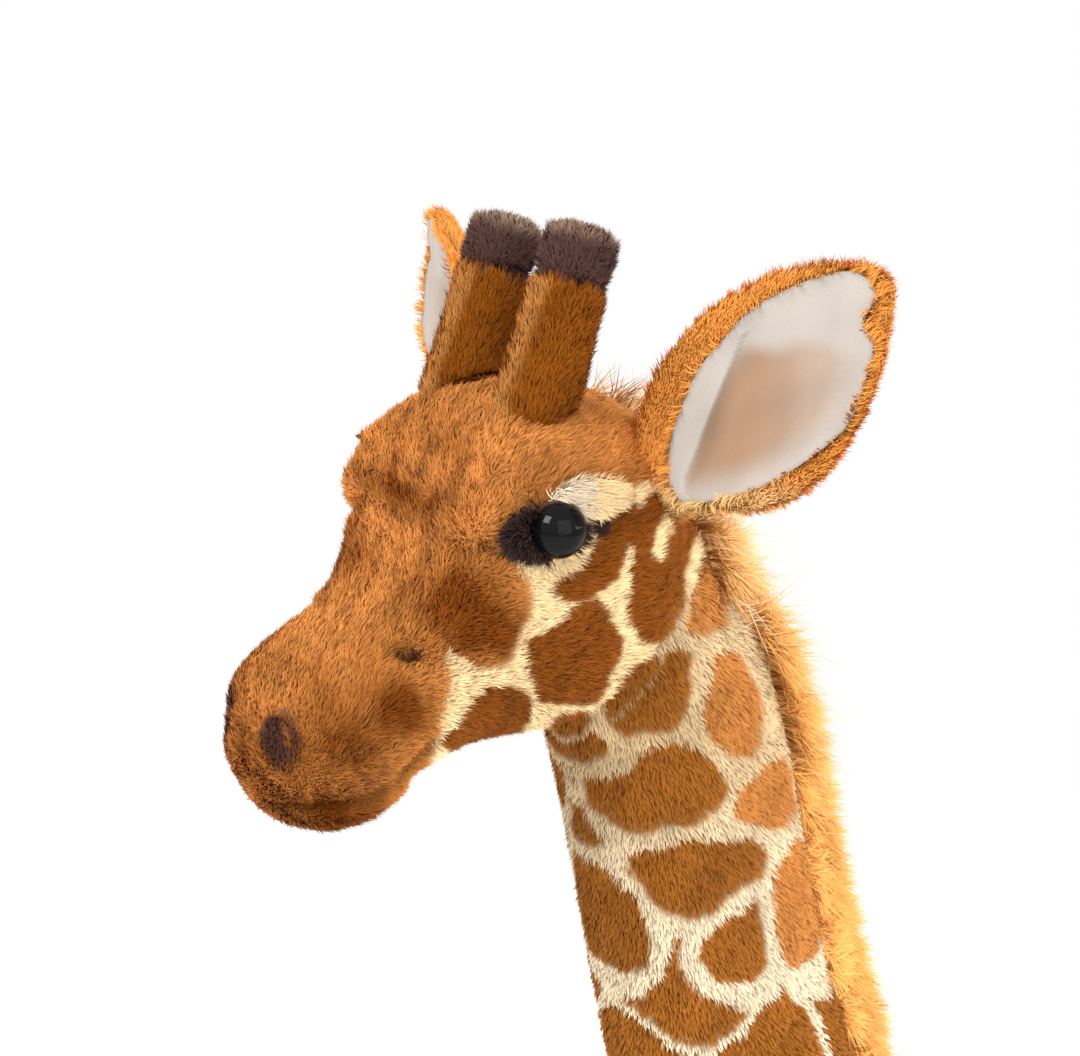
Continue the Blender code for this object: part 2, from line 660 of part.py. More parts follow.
def build_eye(side, head):
    pivot = HEAD_DATUM + Vector(NECK_TOP_PLACE)
    where = eye_place(side)
    facing = mirrored(EYE_FACING, side).normalized()
    name = side_name(side)
    eye = turned("eye_" + name, eye_profile(0), "eye_gloss", where, facing, EYE_SIDES)
    room = turned("eye_room_" + name, eye_profile(WIRE_GAP), None, where, facing, EYE_SIDES)

    def washer_body(label, slot, grow, hole):
        front = -WASHER_DEPTH + grow
        rear = -WASHER_DEPTH - WASHER_THICKNESS - grow
        across = facing.cross(Z_AXIS).normalized()
        depth = facing.cross(across)
        rings = [ring(where + facing * out, across, depth, WASHER_RADIUS + grow, WASHER_RADIUS + grow,
                      EYE_SIDES) for out in (front, rear)]
        body = solid(label, rings, slot, where)
        if hole:
            cut(body, hole)
        return body

    hole = turned("stem_hole_" + name, [(0, 0), (STEM_RADIUS + WIRE_GAP, 0),
                                        (STEM_RADIUS + WIRE_GAP, -STEM_LENGTH), (0, -STEM_LENGTH)],
                  None, where, facing, EYE_SIDES)
    washer = washer_body("eye_washer_" + name, "washer_plastic", 0, hole)
    stem_room = turned("stem_room_" + name, [(0, 0), (STEM_RADIUS + WIRE_GAP, 0),
                                             (STEM_RADIUS + WIRE_GAP, -STEM_LENGTH - WIRE_GAP),
                                             (0, -STEM_LENGTH - WIRE_GAP)],
                       None, where, facing, EYE_SIDES)
    cut(head, room, stem_room, washer_body("washer_room_" + name, None, WIRE_GAP, None))
    middle = where + mirrored((0, -PATCH_SHIFT[0], PATCH_SHIFT[1]), side)
    patch = pad("eye_patch_" + name, middle, facing, PATCH_SIZE, PATCH_THICKNESS, "dark_plush", pivot)
    cut(patch, stem_room, room)
    patch_room = pad("patch_room_" + name, middle, facing, PATCH_SIZE, PATCH_THICKNESS, None, pivot,
                     grow=SEAM_GAP)
    middle = where + mirrored((0, -LID_SHIFT[0], LID_SHIFT[1]), side)
    lid = pad("eyelid_" + name, middle, facing, LID_SIZE, LID_THICKNESS, "cream_plush", pivot)
    cut(lid, patch_room, room)
    return [eye, washer, patch, lid]


def build_nostril(side):
    pivot = HEAD_DATUM + Vector(NECK_TOP_PLACE)
    place = skin_point(NOSTRIL_AIM, NOSTRIL_FACING, side)
    return pad("nostril_" + side_name(side), place, mirrored(NOSTRIL_FACING, side), NOSTRIL_SIZE,
               NOSTRIL_THICKNESS, "dark_plush", pivot)


def build_horn(side, head_shape):
    pivot = HEAD_DATUM + Vector(NECK_TOP_PLACE)
    foot = on_head(HORN_FOOT, side)
    top = on_head(HORN_TOP, side)
    up = (top - foot).normalized()
    across = Y_AXIS.cross(up).normalized()
    depth = up.cross(across)
    tube = (top - foot).length - HORN_CAP_LENGTH

    def stack(base, length, shares):
        return [ring(base + up * (share * length), across, depth, size * HORN_RADIUS, size * HORN_RADIUS,
                     HORN_SIDES) for share, size in shares]

    horn = solid("horn_" + side_name(side), stack(foot, tube - SEAM_GAP, HORN_RADIUS_SHARES), "horn_plush",
                 pivot)
    cut(horn, head_shape)
    cap = solid("horn_cap_" + side_name(side), stack(foot + up * tube, HORN_CAP_LENGTH, HORN_CAP_SHARES),
                "dark_plush", pivot, end=top)
    return [horn, cap]


def ear_frame(side):
    along = mirrored(EAR_POINTING, side).normalized()
    face = mirrored(EAR_FACING, side)
    face = (face - along * face.dot(along)).normalized()
    return along, face, along.cross(face)


def ear_rows(count):
    rows = np.array(smooth_rows(EAR_SECTION_SHARES, CURVE_SAMPLES))
    places = np.linspace(0, EAR_SECTION_SHARES[-1][0], count)
    return [(place, *[np.interp(place, rows[:, 0], rows[:, k]) for k in (1, 2, 3, 4)])
            for place in places]


def build_ear(side, head):
    pivot = on_head(EAR_PIVOT, side)
    along, face, across = ear_frame(side)
    name = side_name(side)
    rings = dome(pivot, along, across, face, EAR_KNUCKLE, EAR_KNUCKLE_WIDTH, EAR_SIDES)
    for place, half, cup, thick, sweep in ear_rows(EAR_RINGS):
        centre = pivot + along * (place * EAR_LENGTH) + across * (side * sweep * EAR_SWEEP)
        outline = []
        for index in range(EAR_SIDES):
            angle = 2 * math.pi * index / EAR_SIDES
            wide = half * EAR_WIDTH * math.cos(angle)
            deep = cup * EAR_CUP * math.cos(angle) ** 2 + thick * EAR_THICKNESS / 2 * math.sin(angle)
            outline.append(centre + across * wide + face * deep)
        rings.append(outline)
    shell = solid("ear_shell_" + name, rings, "spotted_plush", pivot,
                  start=pivot - along * EAR_KNUCKLE, end=centre + along * (EAR_LENGTH * EAR_TIP_SHARE))
    cut(head, seat("ear_seat_" + name, pivot, along, across, EAR_KNUCKLE, EAR_KNUCKLE_WIDTH,
                   EAR_SWING, EAR_KNUCKLE * SEAT_REACH_SHARE, EAR_SEAT_FLARE_SHARE, EAR_SIDES))
    rings = []
    rows = np.array(ear_rows(CURVE_SAMPLES))
    for place in np.linspace(*LINING_SPAN_SHARES, LINING_RINGS):
        half, cup, thick, sweep = [np.interp(place, rows[:, 0], rows[:, k]) for k in (1, 2, 3, 4)]
        centre = pivot + along * (place * EAR_LENGTH) + across * (side * sweep * EAR_SWEEP)
        outline = []
        for index in range(EAR_SIDES):
            angle = 2 * math.pi * index / EAR_SIDES
            share = LINING_WIDTH_SHARE * math.cos(angle)
            floor = cup * EAR_CUP * share ** 2 + thick * EAR_THICKNESS / 2 * math.sqrt(1 - share ** 2)
            deep = floor + SEAM_GAP + LINING_THICKNESS / 2 * (1 + math.sin(angle))
            outline.append(centre + across * (share * half * EAR_WIDTH) + face * deep)
        rings.append(outline)
    lining = solid("ear_lining_" + name, rings, "ear_lining", pivot)
    return [shell, lining]


def torso_height(share):
    return TORSO_BELLY + share * TORSO_DEPTH


def build_torso():
    rings = []
    for along, top, bottom, half in smooth_rows(TORSO_SECTION_SHARES, TORSO_RINGS):
        centre = Vector((0, TORSO_FRONT + along * TORSO_LENGTH, torso_height((top + bottom) / 2)))
        rings.append(ring(centre, X_AXIS, Z_AXIS, half * TORSO_WIDTH, (top - bottom) / 2 * TORSO_DEPTH,
                          TORSO_POINTS, TORSO_POWER_SHARE))
    chest = sum(rings[0], Vector()) / TORSO_POINTS
    rump = sum(rings[-1], Vector()) / TORSO_POINTS
    chest.y = TORSO_FRONT
    rump.y = TORSO_FRONT + TORSO_LENGTH
    torso = solid("torso", rings, "spotted_plush", (0, 0, 0), start=chest, end=rump)
    foot, _ = neck_line(0)
    cut(torso, seat("neck_seat", foot, neck_up(0), X_AXIS, NECK_FOOT_RADIUS,
                    NECK_FOOT_RADIUS * NECK_FOOT_WIDTH_SHARE, NECK_SWING,
                    NECK_FOOT_RADIUS * SEAT_REACH_SHARE, NECK_SEAT_FLARE_SHARE, NECK_SIDES))
    return torso


def build_leg(label, side, hip_y, hip_radius, shares, torso):
    name = label + "_" + side_name(side)
    hip = Vector((side * HIP_SPREAD, hip_y, HIP_HEIGHT))
    down = -Z_AXIS
    rings = dome(hip, down, X_AXIS, Y_AXIS, hip_radius, HIP_HALF_WIDTH, LEG_SIDES)
    for share, deep, wide, back in smooth_rows(shares, LEG_RINGS):
        centre = hip + down * (share * HIP_HEIGHT) + Y_AXIS * (back * hip_radius)
        rings.append(ring(centre, X_AXIS, Y_AXIS, wide * HIP_HALF_WIDTH, deep * hip_radius, LEG_SIDES))
    ankle = hip + Y_AXIS * (shares[-1][3] * hip_radius)
    ankle.z = HOOF_HEIGHT + SEAM_GAP
    last = ring(ankle, X_AXIS, Y_AXIS, shares[-1][2] * HIP_HALF_WIDTH, shares[-1][1] * hip_radius, LEG_SIDES)
    leg = solid("leg_" + name, rings + [last], "spotted_plush", hip, start=hip + Z_AXIS * hip_radius)
    cut(torso, seat("hip_seat_" + name, hip, down, X_AXIS, hip_radius, HIP_HALF_WIDTH, 0,
                    hip_radius * SEAT_REACH_SHARE, LIMB_SEAT_FLARE_SHARE, LEG_SIDES))

    rings = []
    for up, size, toe in HOOF_SECTION_SHARES:
        low = SOLE_THICKNESS + SEAM_GAP
        centre = Vector((ankle.x, ankle.y - toe * HOOF_TOE, low + up * (HOOF_HEIGHT - low)))
        rings.append(ring(centre, X_AXIS, Y_AXIS, size * HOOF_RADIUS,
                          size * HOOF_RADIUS + toe * HOOF_TOE, LEG_SIDES))
    hoof = solid("hoof_" + name, rings, "hoof_suede", hip)
    rings = []
    for height in (0, SOLE_THICKNESS):
        centre = Vector((ankle.x, ankle.y - HOOF_TOE, height))
        rings.append(ring(centre, X_AXIS, Y_AXIS, HOOF_RADIUS * SOLE_RADIUS_SHARE,
                          (HOOF_RADIUS + HOOF_TOE) * SOLE_RADIUS_SHARE, LEG_SIDES))
    sole = solid("sole_" + name, rings, "sole_felt", hip)

    def rod_body(title, slot, grow):
        places = [Vector((ankle.x, ankle.y, z)) for z in (ROD_FOOT - grow, ROD_TOP + grow)]
        return solid(title, [ring(p, X_AXIS, Y_AXIS, ROD_RADIUS + grow, ROD_RADIUS + grow, ROD_SIDES)
                             for p in places], slot, hip)

    rod = rod_body("leg_rod_" + name, "armature_steel", 0)
    room = rod_body("rod_room_" + name, None, WIRE_GAP)
    cut(leg, room)
    cut(hoof, room)
    return [leg, hoof, sole, rod]


def build_tail(torso):
    pivot = Vector(TAIL_PIVOT)
    down = -Z_AXIS
    rings = dome(pivot, down, X_AXIS, Y_AXIS, TAIL_KNUCKLE, TAIL_KNUCKLE, TAIL_SIDES)
    for share, back, size in smooth_rows(TAIL_SECTION_SHARES, TAIL_RINGS):
        centre = pivot + down * (share * TAIL_LENGTH) + Y_AXIS * (back * TAIL_SET_BACK)
        rings.append(ring(centre, X_AXIS, Y_AXIS, size * TAIL_RADIUS, size * TAIL_RADIUS, TAIL_SIDES))
    tail = solid("tail", rings, "spotted_plush", pivot, start=pivot + Z_AXIS * TAIL_KNUCKLE)
    end = pivot + down * (TAIL_LENGTH + SEAM_GAP) + Y_AXIS * (TAIL_SECTION_SHARES[-1][1] * TAIL_SET_BACK)
    rings = [ring(end + down * (share * TUFT_LENGTH), X_AXIS, Y_AXIS, size * TUFT_RADIUS, size * TUFT_RADIUS,
                  TAIL_SIDES) for share, size in TUFT_SECTION_SHARES]
    tuft = solid("tail_tuft", rings, "dark_plush", pivot, end=end + down * TUFT_LENGTH)
    cut(torso, seat("tail_seat", pivot, down, X_AXIS, TAIL_KNUCKLE, TAIL_KNUCKLE, TAIL_SWING,
                    TAIL_KNUCKLE * SEAT_REACH_SHARE, LIMB_SEAT_FLARE_SHARE, TAIL_SIDES))
    return [tail, tuft]


def centre_on_floor(pieces):
    """Moves the whole giraffe so that its box is centred over the origin and stands on the floor."""
    bpy.context.view_layer.update()
    graph = bpy.context.evaluated_depsgraph_get()
    corners = []
    for piece in pieces:
        shown = piece.evaluated_get(graph)
        mesh = shown.to_mesh()
        places = np.empty(len(mesh.vertices) * 3, dtype=np.float32)
        mesh.vertices.foreach_get("co", places)
        corners.append(places.reshape(-1, 3) + np.array(piece.matrix_world.translation))
        shown.to_mesh_clear()
    points = np.vstack(corners)
    low = points.min(axis=0)
    high = points.max(axis=0)
    shift = Vector((-(low[0] + high[0]) / 2, -(low[1] + high[1]) / 2, -low[2]))
    for item in bpy.data.objects:
        item.location = item.location + shift
    return shift


def main():
    clear_scene()
    neck, wire = build_neck()
    head, head_shape = build_head()
    pieces = [neck, wire, build_mane(), head, build_jaw(head_shape)]
    for side in (1, -1):
        pieces += build_eye(side, head)
        pieces.append(build_nostril(side))
        pieces += build_horn(side, head_shape)
        pieces += build_ear(side, head)
    torso = build_torso()
    pieces.append(torso)
    for side in (1, -1):
        pieces += build_leg("front", side, FRONT_HIP, FRONT_HIP_RADIUS, LEG_FRONT_SHARES, torso)
        pieces += build_leg("rear", side, REAR_HIP, REAR_HIP_RADIUS, LEG_REAR_SHARES, torso)
    pieces += build_tail(torso)
    shift = centre_on_floor(pieces)
    print("moved by", [round(v, 6) for v in shift])
    for label, place in (("neck_bend", neck_line(0)[0]), ("head_nod", neck_line(1)[0]),
                         ("ear_left_flex", on_head(EAR_PIVOT)),
                         ("front_left_hip", Vector((HIP_SPREAD, FRONT_HIP, HIP_HEIGHT))),
                         ("rear_left_hip", Vector((HIP_SPREAD, REAR_HIP, HIP_HEIGHT))),
                         ("tail_swing", Vector(TAIL_PIVOT)), ("eye", eye_place(1))):
        print(label, [round(v, 6) for v in place + shift])
    print("ear axis", [round(v, 6) for v in ear_frame(1)[2]])


main()
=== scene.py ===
"""Looks of the standing plush giraffe: skins, fur, eyes, ear linings, mane, tail hair and hooves."""

import math

import bpy
import numpy as np
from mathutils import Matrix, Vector
from mathutils.bvhtree import BVHTree


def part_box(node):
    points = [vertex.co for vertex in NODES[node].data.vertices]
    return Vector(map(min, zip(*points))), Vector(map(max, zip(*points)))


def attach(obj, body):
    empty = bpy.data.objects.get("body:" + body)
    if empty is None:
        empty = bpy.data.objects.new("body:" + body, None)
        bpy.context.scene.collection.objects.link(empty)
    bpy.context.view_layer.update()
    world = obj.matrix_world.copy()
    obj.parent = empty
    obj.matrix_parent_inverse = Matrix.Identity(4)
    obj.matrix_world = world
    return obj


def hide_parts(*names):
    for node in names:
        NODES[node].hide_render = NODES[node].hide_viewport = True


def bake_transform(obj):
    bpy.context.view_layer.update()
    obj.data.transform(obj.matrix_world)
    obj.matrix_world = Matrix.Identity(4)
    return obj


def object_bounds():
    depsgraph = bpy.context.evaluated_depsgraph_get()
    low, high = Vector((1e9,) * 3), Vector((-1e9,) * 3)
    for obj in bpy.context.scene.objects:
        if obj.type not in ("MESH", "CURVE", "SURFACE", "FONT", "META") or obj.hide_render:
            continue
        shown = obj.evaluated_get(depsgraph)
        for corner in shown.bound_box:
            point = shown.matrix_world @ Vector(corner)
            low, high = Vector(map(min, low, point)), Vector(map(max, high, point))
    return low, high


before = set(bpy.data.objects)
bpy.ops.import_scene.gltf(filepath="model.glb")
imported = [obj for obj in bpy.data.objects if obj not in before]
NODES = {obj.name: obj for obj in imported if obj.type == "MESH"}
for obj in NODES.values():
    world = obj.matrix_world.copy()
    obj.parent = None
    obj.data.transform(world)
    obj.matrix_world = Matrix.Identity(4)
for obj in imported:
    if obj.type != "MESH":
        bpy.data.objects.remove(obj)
cad_low, cad_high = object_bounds()
SIDES = ((1, "left"), (-1, "right"))
LEGS = [(f"{end}_{side}", end, sign) for end in ("front", "rear") for sign, side in SIDES]

# The photograph's view: its frame in pixels, the eye's place in it, and the camera round it
FRAME_PX = (1080, 1056)
EYE_PX = (558, 530)
MM_PER_PX = 0.000233
AZIMUTH = math.radians(57)
ELEVATION = math.radians(12)
DISTANCE = 0.56
SENSOR = 36.0
EYE_CENTRE = np.array((0.0376, -0.1091, 0.5342))

# Skins lie inside the solids by the depth of the pile that stands on them
CLOSING = 0.0015        # grown by this before the remesh and shrunk after it, which shuts seams and bores
BODY_VOXEL = 0.0026
HEAD_VOXEL = 0.0014
SMOOTHING = 0.5
INSET = 0.0013

# Pile lengths and strand widths
HEAD_PILE = 0.0029
NECK_PILE = 0.0028
BODY_PILE = 0.0034
EAR_PILE = 0.0034
RIM_PILE = 0.0044
HORN_PILE = 0.0032
CAP_PILE = 0.0034
PATCH_PILE = 0.0034
LID_PILE = 0.0036
STRAND = 0.00033
WIDE_STRAND = 0.00070
STRAND_LIMIT = 65000    # strands in one piece
ROOT_DEPTH = 0.0004
CLUMP_SIZE = 0.0045
BUMP_DEPTH = 0.0006

# Colours, linear
CREAM_HEAD = np.array((0.98, 0.74, 0.41))
CREAM_NECK = np.array((0.76, 0.56, 0.32))
CREAM_BODY = np.array((0.90, 0.76, 0.54))
FACE_LIGHT = np.array((0.680, 0.265, 0.066))
FACE_DEEP = np.array((0.205, 0.053, 0.006))
PATCH_HEAD = np.array((0.258, 0.073, 0.009))
PATCH_NECK = np.array((0.375, 0.130, 0.020))
PATCH_REAR_LIT = np.array((0.700, 0.280, 0.072))
HORN_BROWN = np.array((0.250, 0.072, 0.006))
HORN_EDGE_LIT = np.array((0.640, 0.290, 0.085))
HORN_TIP = np.array((0.085, 0.042, 0.036))
HORN_FROST = np.array((0.330, 0.220, 0.165))
EAR_ORANGE = np.array((0.800, 0.340, 0.070))
EAR_CREAM = np.array((0.850, 0.550, 0.240))
EYE_DARK = np.array((0.050, 0.028, 0.026))
LID_CREAM = np.array((0.80, 0.68, 0.50))
NOSTRIL_DARK = np.array((0.070, 0.029, 0.021))
# the mane's colours are as bright as colours go, partly painted light for the light that the mane catches
# from behind
MANE_ORANGE = np.array((1.000, 0.520, 0.150))
MANE_PALE = np.array((1.000, 0.820, 0.560))
LINING_LIGHT = np.array((0.430, 0.395, 0.365))
LINING_HOLLOW_SHADE = np.array((0.330, 0.205, 0.130))
TAIL_DARK = np.array((0.060, 0.032, 0.022))
HOOF_DARK = np.array((0.070, 0.036, 0.022))

# Places in the photograph, in pixels: spot outlines on the head and the neck
SPOTS_PX = {
    "cheek": [(578, 602), (593, 604), (605, 617), (614, 639), (611, 661), (604, 682), (589, 695), (561, 700),
              (537, 700), (528, 687), (524, 665), (524, 643), (539, 637), (550, 626), (561, 613)],
    "behind_eye": [(613, 526), (628, 513), (645, 498), (660, 494), (676, 496), (689, 511), (693, 529),
                   (685, 552), (679, 578), (676, 604), (667, 630), (654, 643), (634, 643), (626, 630),
                   (622, 609), (622, 591), (627, 574), (630, 556), (622, 544), (613, 535)],
    "under_eye": [(546, 584), (563, 575), (580, 565), (588, 553), (590, 540), (592, 524), (604, 510),
                  (615, 506), (630, 503), (628, 522), (620, 543), (615, 560), (608, 580), (597, 592),
                  (578, 600), (560, 600), (548, 594)],
    "jaw": [(468, 698), (485, 689), (507, 687), (520, 693), (526, 706), (522, 719), (511, 732), (492, 741),
            (463, 745), (444, 745), (437, 737), (453, 722), (461, 709)],
    "jaw_rear": [(522, 745), (535, 730), (554, 715), (572, 707), (587, 708), (589, 717), (578, 726),
                 (559, 733), (537, 741), (526, 748)],
    "nape_head": [(606, 704), (615, 685), (628, 665), (645, 654), (654, 656), (652, 669), (637, 689),
                  (619, 706), (609, 711)],
    "nape_neck": [(661, 656), (676, 648), (689, 650), (687, 665), (685, 687), (680, 709), (669, 724),
                  (648, 728), (626, 728), (613, 717), (632, 700), (648, 682)],
    "nape_top": [(684, 626), (687, 600), (693, 578), (704, 544), (713, 565), (721, 600), (719, 622),
                 (702, 630)],
    "neck_rear": [(711, 654), (724, 650), (732, 652), (741, 672), (752, 687), (758, 709), (754, 741),
                  (743, 754), (728, 750), (711, 737), (704, 719), (708, 687)],
    "throat": [(550, 743), (572, 739), (591, 728), (602, 734), (609, 745), (604, 754), (576, 754),
               (554, 750)],
    "throat_low": [(542, 760), (562, 763), (572, 774), (571, 788), (556, 791), (548, 780)],
    "neck_large": [(587, 774), (627, 771), (643, 752), (672, 739), (700, 749), (716, 766), (721, 785),
                   (711, 808), (688, 819), (660, 824), (629, 827), (610, 816), (593, 799)],
    "neck_back": [(736, 796), (744, 777), (767, 763), (778, 754), (786, 774), (790, 802), (786, 822),
                  (767, 824), (742, 819), (732, 813)],
    "neck_small": [(573, 808), (585, 805), (590, 819), (601, 836), (599, 841), (585, 833), (575, 822)],
    "neck_low": [(629, 850), (655, 844), (688, 838), (716, 836), (744, 841), (761, 847), (753, 869),
                 (736, 886), (711, 906), (688, 913), (672, 909), (652, 892), (632, 869)],
    "neck_front": [(571, 847), (590, 853), (607, 869), (627, 889), (643, 909), (652, 935), (645, 960),
                   (620, 975), (598, 965), (588, 930), (580, 895)],
    "neck_base": [(756, 897), (744, 909), (716, 923), (704, 935), (700, 952), (715, 975), (745, 985),
                  (758, 960), (759, 930)],
    "neck_edge": [(797, 838), (778, 858), (770, 881), (770, 903), (775, 930), (785, 965), (812, 975),
                  (818, 930), (812, 895), (805, 861)],
}
# the neck's rear spots, painted lighter with painted light where they are lit
LIT_REAR_SPOTS = ("neck_rear", "neck_back", "nape_top", "neck_edge")
STREAK_PX = [(660, 503), (669, 503), (667, 531), (662, 557), (651, 567), (642, 557), (653, 531)]
FACE_PX = [(60, 60), (760, 60), (700, 470), (668, 476), (656, 492), (638, 482), (624, 500), (612, 480),
           (600, 494), (588, 478), (562, 490), (545, 508), (520, 520), (510, 540), (504, 558), (513, 563),
           (522, 574), (525, 591), (525, 609), (516, 639), (507, 656), (494, 665), (476, 669), (464, 662),
           (452, 652), (447, 657), (449, 676), (441, 698), (436, 714), (433, 733), (424, 752), (420, 900),
           (60, 900)]
# Painted shade brushed over the light orange face in brown areas, and a painted highlight on the bridge where
# the strength is negative: centre, half width and half height, strength
FACE_TONE = 0.20
FACE_SHADE_AND_HIGHLIGHT_PX = {
    "cheek": ((458, 608), (50, 40), 0.95),
    "under_cheek": ((500, 648), (36, 26), 0.55),
    "eye_corner": ((430, 508), (38, 20), 0.60),
    "temple": ((425, 430), (75, 42), 0.20),
    "lip_top": ((400, 712), (30, 26), 0.70),
    "muzzle": ((335, 745), (60, 40), 0.68),
    "chin": ((330, 815), (70, 26), 0.82),
    "nose": ((245, 768), (40, 34), 0.55),
    "muzzle_top": ((350, 690), (50, 28), 0.35),
    "nose_top": ((265, 672), (34, 26), 0.20),
    "bridge": ((330, 610), (34, 40), -0.20),
    "forehead": ((400, 470), (60, 30), 0.20),
}
# Small dark areas of the head, the eye patch's tail and the painted shade in the stitched pit: centre, half
# width and half height
EYE_TAIL_PX = ((594, 527), (15, 13))
PIT_SHADE_PX = ((406, 656), (14, 9))
NOSTRIL_PX = (277, 741)
NOSTRIL_HALF_PX = (25, 34)
# Lines pressed into the head, or raised where the depth is negative: outline, depth and half width
PRESSED_PX = {
    "mouth": ([(292, 806), (320, 806), (350, 802), (375, 794), (393, 780), (408, 764), (428, 746)],
              0.0034, 0.0022),
    "crease": ([(512, 556), (495, 554), (472, 552), (452, 552)], 0.0028, 0.0019),
    "pit": ([(397, 654), (410, 660)], 0.0048, 0.0024),
    "cleft": ([(412, 660), (430, 666)], 0.0016, 0.0018),
    "dip": ([(495, 487), (497, 489)], 0.0020, 0.0030),
    "bump": ([(484, 522), (484, 526)], -0.0012, 0.0030),
    "brow": ([(462, 470), (466, 474)], 0.0022, 0.0100),
    "ridge": ([(400, 636), (420, 644)], -0.0007, 0.0022),
    "nostril": ([NOSTRIL_PX, (279, 743)], 0.0016, 0.0048),
}
LINING_PX = [(886, 268), (862, 265), (820, 276), (780, 292), (748, 312), (722, 340), (698, 370), (682, 405),
             (670, 440), (667, 468), (672, 490), (684, 503), (712, 501), (750, 492), (790, 472), (825, 447),
             (858, 418), (874, 392), (880, 362), (872, 340), (864, 324), (872, 306), (884, 290)]
FOLD_PX = [(744, 334), (722, 385), (700, 440), (684, 480)]

# Spots and linings
PHOTO_FLOOR = 0.436     # spots from the photograph end about here; worked-out spots go on below
SPOT_GROWTH = 0.0005    # how far the spots run past their outlines, for the pile that lies over their edges
LINE = 0.0046           # the cream line between two spots
SEED_BANDS = ((0.00, 0.09, 0.021), (0.09, 0.18, 0.029), (0.18, 0.25, 0.036), (0.25, 0.345, 0.042),
              (0.345, 0.47, 0.040))     # from one height to another, and the spots' width there
SEED_TRIES = 5000       # random places tried in each of them
SEED_REACH = 0.006      # and how near the skin a place has to be
LINE_STEP = 0.0008      # between the points of a line pressed into the head
LINING_RINGS = 60
LINING_MARGIN = 0.96
LINING_THICKNESS = 0.0007

rng = np.random.default_rng(7)
QUICK_SHARE = 1.0
WAVES = 7               # waves in one smooth noise
FAR = 1e9               # beyond any distance here, in metres or in pixels

# The camera as vectors
BACK = np.array((math.sin(AZIMUTH) * math.cos(ELEVATION), -math.cos(AZIMUTH) * math.cos(ELEVATION),
                 math.sin(ELEVATION)))
RIGHT = np.array((math.cos(AZIMUTH), math.sin(AZIMUTH), 0))
UP = np.cross(BACK, RIGHT)
CENTRE_PX = (FRAME_PX[0] / 2, FRAME_PX[1] / 2)
FOCAL_PX = DISTANCE / MM_PER_PX
TARGET = (EYE_CENTRE - RIGHT * ((EYE_PX[0] - CENTRE_PX[0]) * MM_PER_PX)
          + UP * ((EYE_PX[1] - CENTRE_PX[1]) * MM_PER_PX))
CAMERA = TARGET + BACK * DISTANCE


def to_px(points):
    """Where points lie in the photograph."""
    away = points - CAMERA
    depth = -(away @ BACK)
    return np.stack([CENTRE_PX[0] + FOCAL_PX * (away @ RIGHT) / depth,
                     CENTRE_PX[1] - FOCAL_PX * (away @ UP) / depth], axis=1)


def ray_of(px):
    way = -BACK * FOCAL_PX + RIGHT * (px[0] - CENTRE_PX[0]) - UP * (px[1] - CENTRE_PX[1])
    return Vector(CAMERA), Vector(way).normalized()


def unit(vectors):
    return vectors / np.maximum(np.linalg.norm(vectors, axis=-1, keepdims=True), 1e-12)


def smooth_step(low, high, values):
    share = np.clip((values - low) / (high - low), 0, 1)
    return share * share * (3 - 2 * share)


def mix(first, second, share):
    share = np.asarray(share)[:, None]
    return first * (1 - share) + second * share


def waves(points, size, seed):
    """Smooth noise between about -1 and 1, with features of the given size."""
    local = np.random.default_rng(seed)
    ways = unit(local.normal(size=(WAVES, 3))) * (2 * math.pi / size)
    ways *= local.uniform(0.6, 1.5, (WAVES, 1))
    shifts = local.uniform(0, 2 * math.pi, WAVES)
    return np.sin(points @ ways.T + shifts).sum(axis=1) / math.sqrt(WAVES * 0.9)


def wave_vectors(points, size, seed):
    return np.stack([waves(points, size, seed + k) for k in range(3)], axis=1)


def hump(distance, width):
    """1 at no distance, falling off smoothly."""
    return np.exp(-(distance / width) ** 2)


def hump_px(px, centre, reach):
    """The same for an oval area of the photograph."""
    return np.exp(-(((px - centre) / reach) ** 2).sum(axis=1))


def mirrored(place, sign):
    return place * np.array((sign, 1, 1))


def by_side(points, place):
    """A place or a way of the left side, mirrored where the points are on the right."""
    return np.where(points[:, :1] > 0, place, mirrored(place, -1))


def near_side(points):
    """Points folded onto the side that faces the camera."""
    return np.concatenate([np.abs(points[:, :1]), points[:, 1:]], axis=1)


def square_to(vectors, ways):
    """The part of some vectors that is square to ways of length 1."""
    return unit(vectors - ways * (vectors * ways).sum(axis=1, keepdims=True))


def repeated(way, points):
    return np.tile(np.array(way), (len(points), 1))


# Meshes
def arrays_of(item):
    mesh = item.data
    points = np.empty(len(mesh.vertices) * 3, np.float32)
    mesh.vertices.foreach_get("co", points)
    mesh.calc_loop_triangles()
    faces = np.empty(len(mesh.loop_triangles) * 3, np.int32)
    mesh.loop_triangles.foreach_get("vertices", faces)
    return points.reshape(-1, 3).astype(float), faces.reshape(-1, 3)


def new_object(name, points, faces, smooth=True):
    mesh = bpy.data.meshes.new(name)
    mesh.vertices.add(len(points))
    mesh.vertices.foreach_set("co", np.asarray(points, np.float32).ravel())
    faces = np.asarray(faces, np.int32)
    mesh.loops.add(faces.size)
    mesh.loops.foreach_set("vertex_index", faces.ravel())
    mesh.polygons.add(len(faces))
    mesh.polygons.foreach_set("loop_start", np.arange(len(faces), dtype=np.int32) * faces.shape[1])
    mesh.update(calc_edges=True)
    if smooth:
        mesh.shade_smooth()
    item = bpy.data.objects.new(name, mesh)
    bpy.context.scene.collection.objects.link(item)
    return item


def vertex_normals(points, faces):
    crosses = np.cross(points[faces[:, 1]] - points[faces[:, 0]], points[faces[:, 2]] - points[faces[:, 0]])
    total = np.zeros_like(points)
    for corner in range(3):
        for axis in range(3):
            total[:, axis] += np.bincount(faces[:, corner], crosses[:, axis], len(points))
    return unit(total)


